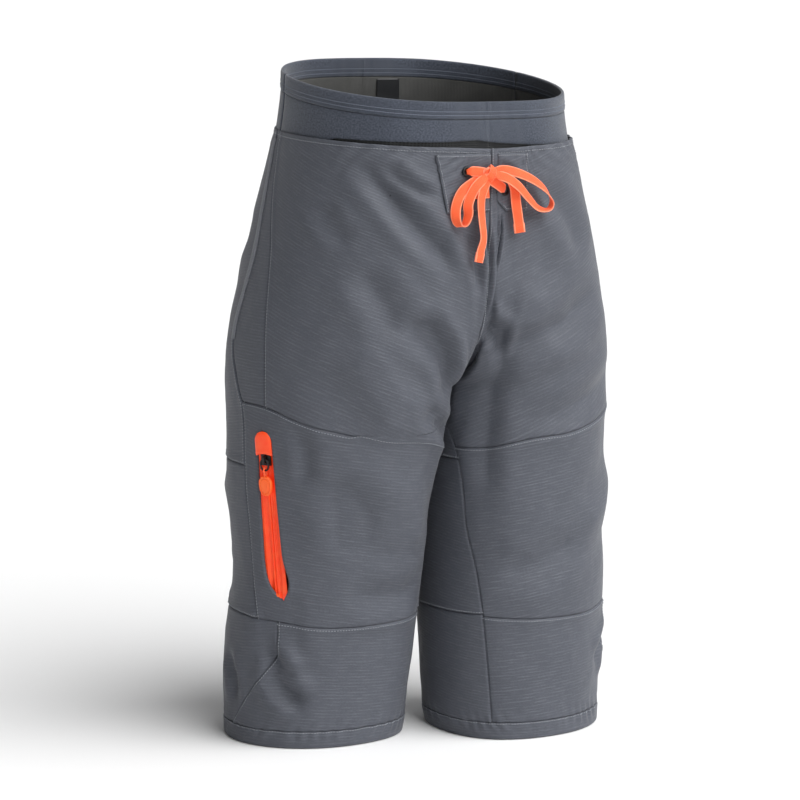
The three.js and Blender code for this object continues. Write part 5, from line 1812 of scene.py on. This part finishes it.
for side in (1, -1):
    label = sideName(side)
    stitch(f"front_stitches_{label}", [
        alongEdge(f"front_upper_{label}_cloth", "back", 1.9),
        *[alongEdge(f"{kind}_{label}_cloth", "top", 4.2) for kind in ("front_upper", "side_wedge",
                                                                      "back_upper")],
        alongEdge(f"front_thigh_{label}_cloth", "top", 1.9),
    ], highlitShellThread)
    stitch(f"back_stitches_{label}", [
        alongEdge(f"back_upper_{label}_cloth", "front", 2.6, 0.0, 0.97),
        alongEdge(f"back_upper_{label}_cloth", "bottom", 1.9),
        alongEdge(f"front_thigh_{label}_cloth", "back", 1.9),
    ], highlitShellThread)
    stitch(f"knee_stitches_{label}", [
        alongEdge(f"front_knee_{label}_cloth", "top", 1.9),
        alongEdge(f"back_thigh_{label}_cloth", "bottom", 1.9),
        alongEdge(f"front_knee_{label}_cloth", "back", 1.9),
    ], highlitShellThread)
    hem = panels[f"hem_{label}"]
    hemPoints, hemNormals = (np.concatenate([hem[field][1], hem[field][1][:1]])
                             for field in ("outer", "normal"))
    stitch(f"hem_stitches_{label}", [(hemPoints + 0.12 * hemNormals, hemNormals)], highlitShellThread)

stitch("fly_stitches", [
    alongEdge("fly_lap", "front", 1.6),
    *patchRuns("patch_right", [("back", 0.04, 0.96), ("top", 0.04, 0.96), ("bottom", 0.04, 0.96)]),
    *patchRuns("patch_left", [("back", 0.05, 0.95), ("top", 0.05, 0.95), ("bottom", 0.3, 0.95)]),
], highlitShellThread, pitch=2.2)
for place in ("front", "back"):
    band = panels[f"waistband_upper_{place}_knit"]
    outerRows = [(band["outer"][k] + 0.25 * unit(band["normal"][k]), unit(band["normal"][k])) for k in (3, 6)]
    innerRows = [(band["outer"][k] - 0.25 * unit(band["normal"][k]), -unit(band["normal"][k]))
                 for k in (20, 23)]
    stitch(f"band_stitches_{place}", outerRows + innerRows, bandThread, "knit_band", 2.3, 0.7)
print("stitching ready")

# Floor and light
studio = {
    "floorShade": 0.88, "floorReach": 400.0, "floorDrop": 0.0005,
    "sunPower": 3.9, "sunSpread": 62, "sunWay": (-0.36, 0.78, -0.95),
    "skyPower": 0.36, "skyRange": (0.3, 1.3), "skySpan": (-0.8, 0.8),
}


def addFloor():
    mesh = bpy.data.meshes.new("floor")
    reach, drop = studio["floorReach"], -studio["floorDrop"]
    corners = [(-reach, -reach), (reach, -reach), (reach, reach), (-reach, reach)]
    mesh.from_pydata([(x, y, drop) for x, y in corners], [], [(0, 1, 2, 3)])
    floor = bpy.data.objects.new("floor", mesh)
    scene.collection.objects.link(floor)
    material, _, shader = newMaterial("pale_floor", 0.9, Specular_IOR_Level=0.1)
    shader.inputs["Base Color"].default_value = (*[studio["floorShade"]] * 3, 1)
    mesh.materials.append(material)


def addLight(name, place, aim, size, power):
    lamp = bpy.data.lights.new(name, "AREA")
    lamp.shape, lamp.size, lamp.size_y, lamp.energy = "RECTANGLE", size[0], size[1], power
    made = bpy.data.objects.new(name, lamp)
    made.location = place
    made.rotation_euler = (Vector(aim) - Vector(place)).to_track_quat("-Z", "Y").to_euler()
    scene.collection.objects.link(made)


addFloor()
target = (0, 0, 0.35)
addLight("front", (-1.2, -3.0, 1.6), target, (2.0, 1.6), 6)
sun = bpy.data.lights.new("key", "SUN")
sun.energy, sun.angle = studio["sunPower"], math.radians(studio["sunSpread"])
key = bpy.data.objects.new("key", sun)
key.rotation_euler = Vector(studio["sunWay"]).to_track_quat("-Z", "Y").to_euler()
scene.collection.objects.link(key)


def addSky():
    # A plain sky, paler on the wearer's left than on the right.
    world = bpy.data.worlds.new("studio")
    scene.world = world
    world.use_nodes = True
    tree = world.node_tree
    across = node(tree, "SeparateXYZ", Vector=node(tree, "TexCoord").outputs["Generated"]).outputs["X"]
    low, high = studio["skySpan"]
    dark, pale = studio["skyRange"]
    tone = node(tree, "MapRange", Value=across, From_Min=low, From_Max=high, To_Min=dark, To_Max=pale)
    background = tree.nodes["Background"]
    tree.links.new(tone.outputs[0], background.inputs[0])
    background.inputs[1].default_value = studio["skyPower"]


addSky()
